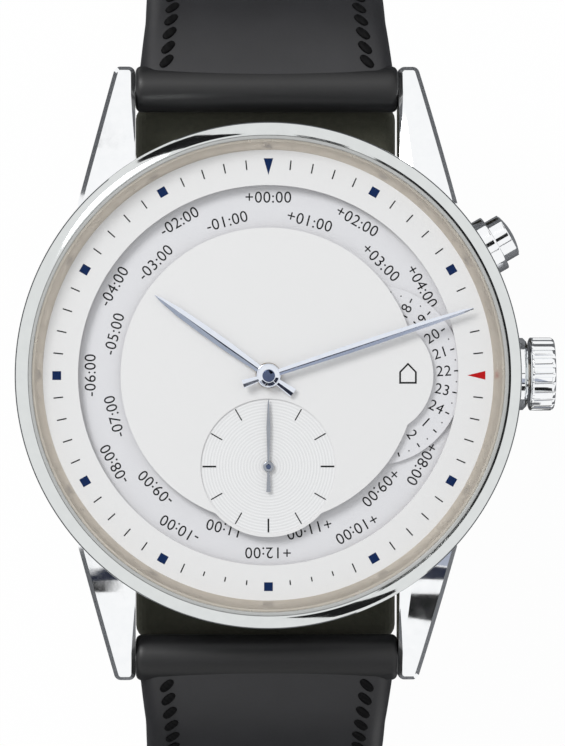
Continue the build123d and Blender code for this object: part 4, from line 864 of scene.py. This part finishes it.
dialPrint = {
    "dialTop": 8.49, "film": (0.004, 0.01), "tickInner": 16.26, "tickOuter": 17.02, "tickWidth": 0.1,
    "shortMinutes": (27, 28, 29, 31, 32, 33), "shortOuter": 16.63,
    "squareSide": 0.69, "squareRadius": 16.67,
    # outer radius, radius of the tip, width
    "twelveMark": (17.1, 15.8, 0.74), "homeMark": (17.12, 15.7, 0.69),
}
low, high = dialPrint["dialTop"] - dialPrint["film"][0], dialPrint["dialTop"] + dialPrint["film"][1]
ticks = []
for minute in range(60):
    if minute % 5:
        outer = dialPrint["shortOuter"] if minute in dialPrint["shortMinutes"] else dialPrint["tickOuter"]
        ticks.append(tick(dialPrint["tickInner"], outer, dialPrint["tickWidth"], minute * 6))
placeObject("minuteTicks", plates("minuteTicks", ticks, low, high), "case", inkBlack)


def wedge(outer, tip, width, turn):
    # a triangle that points at the middle of the dial
    return [clockPoint(outer, turn, -width / 2), clockPoint(tip, turn), clockPoint(outer, turn, width / 2)]


squareSide, squareIn = dialPrint["squareSide"], dialPrint["squareRadius"] - dialPrint["squareSide"] / 2
squares = [tick(squareIn, squareIn + squareSide, squareSide, hour * 30) for hour in range(1, 12) if hour != 3]
squares.append(wedge(*dialPrint["twelveMark"], 0))
placeObject("blueHourMarks", plates("blueHourMarks", squares, low, high), "case", inkBlue)
homeMark = wedge(*dialPrint["homeMark"], 90)
placeObject("redHomeMark", plates("redHomeMark", [homeMark], low, high), "case", inkRed)

# the small house outline on the raised plate
house = {"left": 10.32, "right": 11.70, "base": -0.66, "eaves": 0.28, "ridge": 1.0, "stroke": 0.14,
         "eavesShare": 0.3, "ridgeShare": 1.35}
middle = (house["left"] + house["right"]) / 2


def houseCorners(inset):
    # the five corners, inset from the sides, the base and the two slopes of the roof
    left, right = house["left"] + inset, house["right"] - inset
    eaves, ridge = house["eaves"] - inset * house["eavesShare"], house["ridge"] - inset * house["ridgeShare"]
    base = house["base"] + inset
    return [(left, base), (right, base), (right, eaves), (middle, ridge), (left, eaves)]


outside, inside = houseCorners(0), houseCorners(house["stroke"])
strokes = [[outside[i], outside[(i + 1) % 5], inside[(i + 1) % 5], inside[i]] for i in range(5)]
placeObject("houseOutline", plates("houseOutline", strokes, low, high), "case", inkBlack)

# small seconds scale, on the recessed dial
secondsPrint = {"top": 8.37, "film": (0.004, 0.01), "long": (4.12, 5.2, 0.13), "plain": (4.2, 5.22, 0.09)}
marks = []
for place in range(1, 12):
    inner, outer, width = secondsPrint["long"] if place % 3 == 0 else secondsPrint["plain"]
    marks.append(tick(inner, outer, width, place * 30, smallDialCentre))
low, high = secondsPrint["top"] - secondsPrint["film"][0], secondsPrint["top"] + secondsPrint["film"][1]
placeObject("secondsTicks", plates("secondsTicks", marks, low, high), "case", inkBlack)

# time offsets on the turning city ring: even ones in the outer row, odd ones in the inner row
offsetPrint = {"top": 7.672, "outerRow": 14.0, "innerRow": 12.55, "capHeight": 0.88}
words = []
for offset in range(-11, 13):
    radius = offsetPrint["innerRow"] if offset % 2 else offsetPrint["outerRow"]
    turn = offset * 15
    x, y = clockPoint(radius, turn)
    words.append((f"{'+' if offset >= 0 else '-'}{abs(offset):02d}:00", x, y, -turn))
printedWords("offsetNumbers", words, offsetPrint["capHeight"], offsetPrint["top"], inkBlack, "city_disc")

# hours on the 24 hour disc
hourPrint = {"top": 7.992, "axis": (8.27, 0), "numberRadius": 5.6, "capHeight": 0.83,
             "dash": (6.42, 6.76, 0.11), "dotRadius": 6.62, "dotSize": 0.055, "shownHour": 22.2,
             "film": (0.006, 0.008)}
dot = [(hourPrint["dotSize"] * math.cos(i * math.pi / 6), hourPrint["dotSize"] * math.sin(i * math.pi / 6))
       for i in range(12)]
words, marks = [], []
for hour in range(1, 25):
    turn = (hourPrint["shownHour"] - hour) * 15
    a = math.radians(turn)
    x = hourPrint["axis"][0] + hourPrint["numberRadius"] * math.cos(a)
    y = hourPrint["axis"][1] + hourPrint["numberRadius"] * math.sin(a)
    words.append((str(hour), x, y, turn))
    marks.append(tick(*hourPrint["dash"], 90 - turn, hourPrint["axis"]))
    dotX, dotY = clockPoint(hourPrint["dotRadius"], 90 - turn + 7.5, 0, hourPrint["axis"])
    marks.append([(dotX + dx, dotY + dy) for dx, dy in dot])
printedWords("dayHourNumbers", words, hourPrint["capHeight"], hourPrint["top"], inkBlack, "hour24_disc")
low, high = hourPrint["top"] - hourPrint["film"][0], hourPrint["top"] + hourPrint["film"][1]
dayMarks = plates("dayHourTicks", marks, low, high)
placeObject("dayHourTicks", dayMarks, "hour24_disc", inkBlack)
print("dial printed")


# floor, world, lamp, cards and camera

studio = {
    "worldLight": 0.75, "worldTint": (0.97, 0.985, 1.0, 1), "keyPlace": (-260, 300, 420), "keyAim": (0, 0, 8),
    "keyWatts": 1.85, "keySize": 240, "floorSide": 4000.0, "floorTone": "#F4F4F3", "floorGlow": 0.965,
}


def seenDirectly(tree):
    # 1 for rays that come from the camera, a mirror or glass, and 0 for the light that falls on the watch
    path = addNode(tree, "ShaderNodeLightPath")
    share = path.outputs["Is Camera Ray"]
    for kind in ("Is Glossy Ray", "Is Transmission Ray"):
        share = addNode(tree, "ShaderNodeMath", {"operation": "MAXIMUM"},
                        {0: share, 1: path.outputs[kind]}).outputs["Value"]
    return share


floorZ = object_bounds()[0].z / mm
side = studio["floorSide"]
floorCorners = [(-side, -side, floorZ), (side, -side, floorZ), (side, side, floorZ), (-side, side, floorZ)]
material, tree = newMaterial("mattWhitePaper")
noise, bump = grainBump(tree, 1.5, 0.01)
paper = addNode(tree, "ShaderNodeBsdfDiffuse", {"Color": linear(studio["floorTone"])},
                {"Normal": bump.outputs["Normal"]})
glow = addNode(tree, "ShaderNodeEmission", {"Color": (1, 1, 1, 1), "Strength": 1.0})
share = addNode(tree, "ShaderNodeMath", {"operation": "MULTIPLY", 1: studio["floorGlow"]},
                {0: seenDirectly(tree)})
mix = addNode(tree, "ShaderNodeMixShader", {}, {0: share.outputs["Value"], 1: paper.outputs["BSDF"],
                                                2: glow.outputs["Emission"]})
finishMaterial(tree, mix.outputs["Shader"])
floor = placeObject("paleFloor", meshFrom("paleFloor", floorCorners, [(0, 1, 2, 3)]), None, material)

world = bpy.data.worlds.new("softWhiteStudio")
scene.world = world
world.use_nodes = True
tree = world.node_tree
tree.nodes.clear()
light = addNode(tree, "ShaderNodeBackground",
                {"Color": studio["worldTint"], "Strength": studio["worldLight"]})
white = addNode(tree, "ShaderNodeBackground", {"Color": (1, 1, 1, 1), "Strength": 1.0})
mix = addNode(tree, "ShaderNodeMixShader", {}, {0: seenDirectly(tree), 1: light.outputs["Background"],
                                                2: white.outputs["Background"]})
addNode(tree, "ShaderNodeOutputWorld", {}, {"Surface": mix.outputs["Shader"]})

lamp = bpy.data.lights.new("keyLamp", "AREA")
lamp.shape = "DISK"
lamp.size = studio["keySize"] * mm
lamp.energy = studio["keyWatts"]
keyLamp = placeObject("keyLamp", lamp, None)
keyLamp.location = Vector(studio["keyPlace"]) * mm
keyLamp.rotation_mode = "QUATERNION"
keyLamp.rotation_quaternion = (Vector(studio["keyAim"]) * mm - keyLamp.location).to_track_quat("-Z", "Y")


# cards that the polished steel mirrors, each a patch of a dome. A stop is (turn clockwise from 12 o'clock,
# lowest and highest angle from straight up), in degrees. The white card keeps the dark one behind it off the
# pusher
crescent = ((5, 38, 46), (8, 38, 51), (12, 38, 59), (16, 40, 74), (23, 49, 76), (31, 67, 77))
dome = {"centre": (0, 0, 8), "radius": 400}
black, nightBlue = "#0B0B0D", "#20263A"
cards = {
    "darkCardTop": {"stops": [(-turn, low, high) for turn, low, high in crescent], "tone": black},
    "darkCardOver": {"stops": [(-5, 8.3, 20), (20, 4.6, 11.1), (60, 3.5, 8.5), (75, 3.6, 8.8)],
                     "tone": black},
    "darkCardLow": {"stops": [(180 - turn, low, high) for turn, low, high in crescent], "tone": black},
    "darkCardRim": {"stops": [(203, 32.3, 37), (334, 32.3, 37)], "tone": black},
    "darkCardHubRight": {"stops": [(105, 27.5, 32.3), (137, 27.5, 32.3)], "tone": nightBlue},
    "darkCardHands": {"stops": [(140.5, 27.5, 32.3), (186, 27.5, 32.3)], "tone": nightBlue},
    "darkCardLug": {"stops": [(184, 33, 36.8), (187, 29, 36.8), (191, 23, 36.8), (196, 18, 36.8)],
                    "tone": black},
    "darkCardHubLeft": {"stops": [(197, 27.5, 32.3), (232, 27.5, 32.3)], "tone": nightBlue},
    "blueCardLeft": {"stops": [(-162, 15, 27), (-128, 15, 27)], "tone": "#C6CCD8"},
    "blueCardRight": {"stops": [(146, 15, 27), (176, 15, 27)], "tone": "#B9BFD0"},
}
whiteCard = {"stops": [(-35, 43, 80), (-19, 43, 80)], "centre": (17.6, 10.2, 5.5), "radius": 34.0}


def velvet(name, tone):
    # a dull cloth, its tone mottled with one a little darker
    dark = "#" + "".join(f"{int(int(tone[i:i + 2], 16) * 0.85):02X}" for i in (1, 3, 5))
    return grained(name, tone, dark, 0.5, 0.1, {"Roughness": 0.95})


def mirroredOnly(obj):
    obj.visible_camera = False
    obj.visible_diffuse = False
    obj.visible_shadow = False


def domeCard(name, stops, centre, radius, material):
    # eight faces from low to high, and eight from each stop to the next
    fine = []
    for stop, following in zip(stops, stops[1:]):
        for i in range(8):
            fine.append([a + (b - a) * i / 8 for a, b in zip(stop, following)])
    points = []
    for turn, low, high in fine + [stops[-1]]:
        for i in range(9):
            fromTop = math.radians(low + (high - low) * i / 8)
            x, y = clockPoint(radius * math.sin(fromTop), turn, 0, centre)
            points.append((x, y, centre[2] + radius * math.cos(fromTop)))
    faces = [(row * 9 + i, row * 9 + i + 1, row * 9 + i + 10, row * 9 + i + 9)
             for row in range(len(fine)) for i in range(8)]
    mirroredOnly(placeObject(name, meshFrom(name, points, faces), None, material))


for name, card in cards.items():
    domeCard(name, card["stops"], dome["centre"], dome["radius"], velvet(name + "Velvet", card["tone"]))
material, tree = newMaterial("whiteCardPaper")
paperGlow = addNode(tree, "ShaderNodeEmission", {"Color": (1, 1, 1, 1), "Strength": 1.0})
finishMaterial(tree, paperGlow.outputs["Emission"])
domeCard("whiteCard", whiteCard["stops"], whiteCard["centre"], whiteCard["radius"], material)

# grey felt round the horizon and on the table, which the rims and flanks mirror as their thin dark outlines
felt = {"radius": 85, "low": 1, "high": 10, "sides": (30, 210), "halfSide": 81, "tone": "#77787B"}


def feltPoint(degrees, height):
    a = math.radians(degrees)
    return (felt["radius"] * math.cos(a), felt["radius"] * math.sin(a), height)


feltLow = floorZ + felt["low"]
points = [(0, 0, feltLow)] + [feltPoint(5 * step, feltLow) for step in range(72)]
faces = [(0, step + 1, (step + 1) % 72 + 1) for step in range(72)]
for middle in felt["sides"]:
    start = len(points)
    for step in range(37):
        turn = middle + felt["halfSide"] * (step / 18 - 1)
        points += [feltPoint(turn, feltLow), feltPoint(turn, felt["high"])]
    faces += [(start + 2 * i, start + 2 * i + 2, start + 2 * i + 3, start + 2 * i + 1) for i in range(36)]
feltMesh = meshFrom("greyFelt", points, faces)
mirroredOnly(placeObject("greyFelt", feltMesh, None, velvet("greyWallFelt", felt["tone"])))

# two dark olive pads inside the strap, under the case: dark sheets that paint the shade in the gap between
# the lugs, the strap's rolls and the case
gapShadePad = {"half": 10.48, "span": (16.4, 21.6), "top": -0.4, "low": -6.0, "bevel": 1.2, "tone": "#4A4A3E"}
for name, side in (("paintedShadePadLower", -1), ("paintedShadePadUpper", 1)):
    corners, faces = boxBetween((-gapShadePad["half"], gapShadePad["half"]), [side * y for y in gapShadePad["span"]],
                                (gapShadePad["low"], gapShadePad["top"]))
    pad = placeObject(name, meshFrom(name, corners, faces), None, velvet("paintedShadeOliveVelvet", gapShadePad["tone"]))
    bevel = pad.modifiers.new("soft", "BEVEL")
    bevel.width, bevel.segments = gapShadePad["bevel"] * mm, 5

# the camera stands tiltUp degrees off straight ahead towards 12 o'clock, and tiltLeft towards 9 o'clock
view = {"target": (1.11, 0.19, 8.49), "distance": 380.0, "tiltUp": 1.3, "tiltLeft": 1.5,
        "frameHeight": 58.8, "sensor": 36.0}
camera = bpy.data.cameras.new("frontCamera")
camera.sensor_width = view["sensor"]
camera.lens = view["sensor"] * view["distance"] / view["frameHeight"]
cameraObject = placeObject("frontCamera", camera, None)
left, up = math.sin(math.radians(view["tiltLeft"])), math.sin(math.radians(view["tiltUp"]))
away = Vector((-left, up, 1)).normalized()
cameraObject.location = (Vector(view["target"]) + away * view["distance"]) * mm
cameraObject.rotation_mode = "QUATERNION"
right = Vector((0, 1, 0)).cross(away).normalized()
cameraObject.rotation_quaternion = Matrix((right, away.cross(right), away)).transposed().to_quaternion()
camera.clip_start, camera.clip_end = 0.01, 20
scene.camera = cameraObject
print("studio and camera ready")
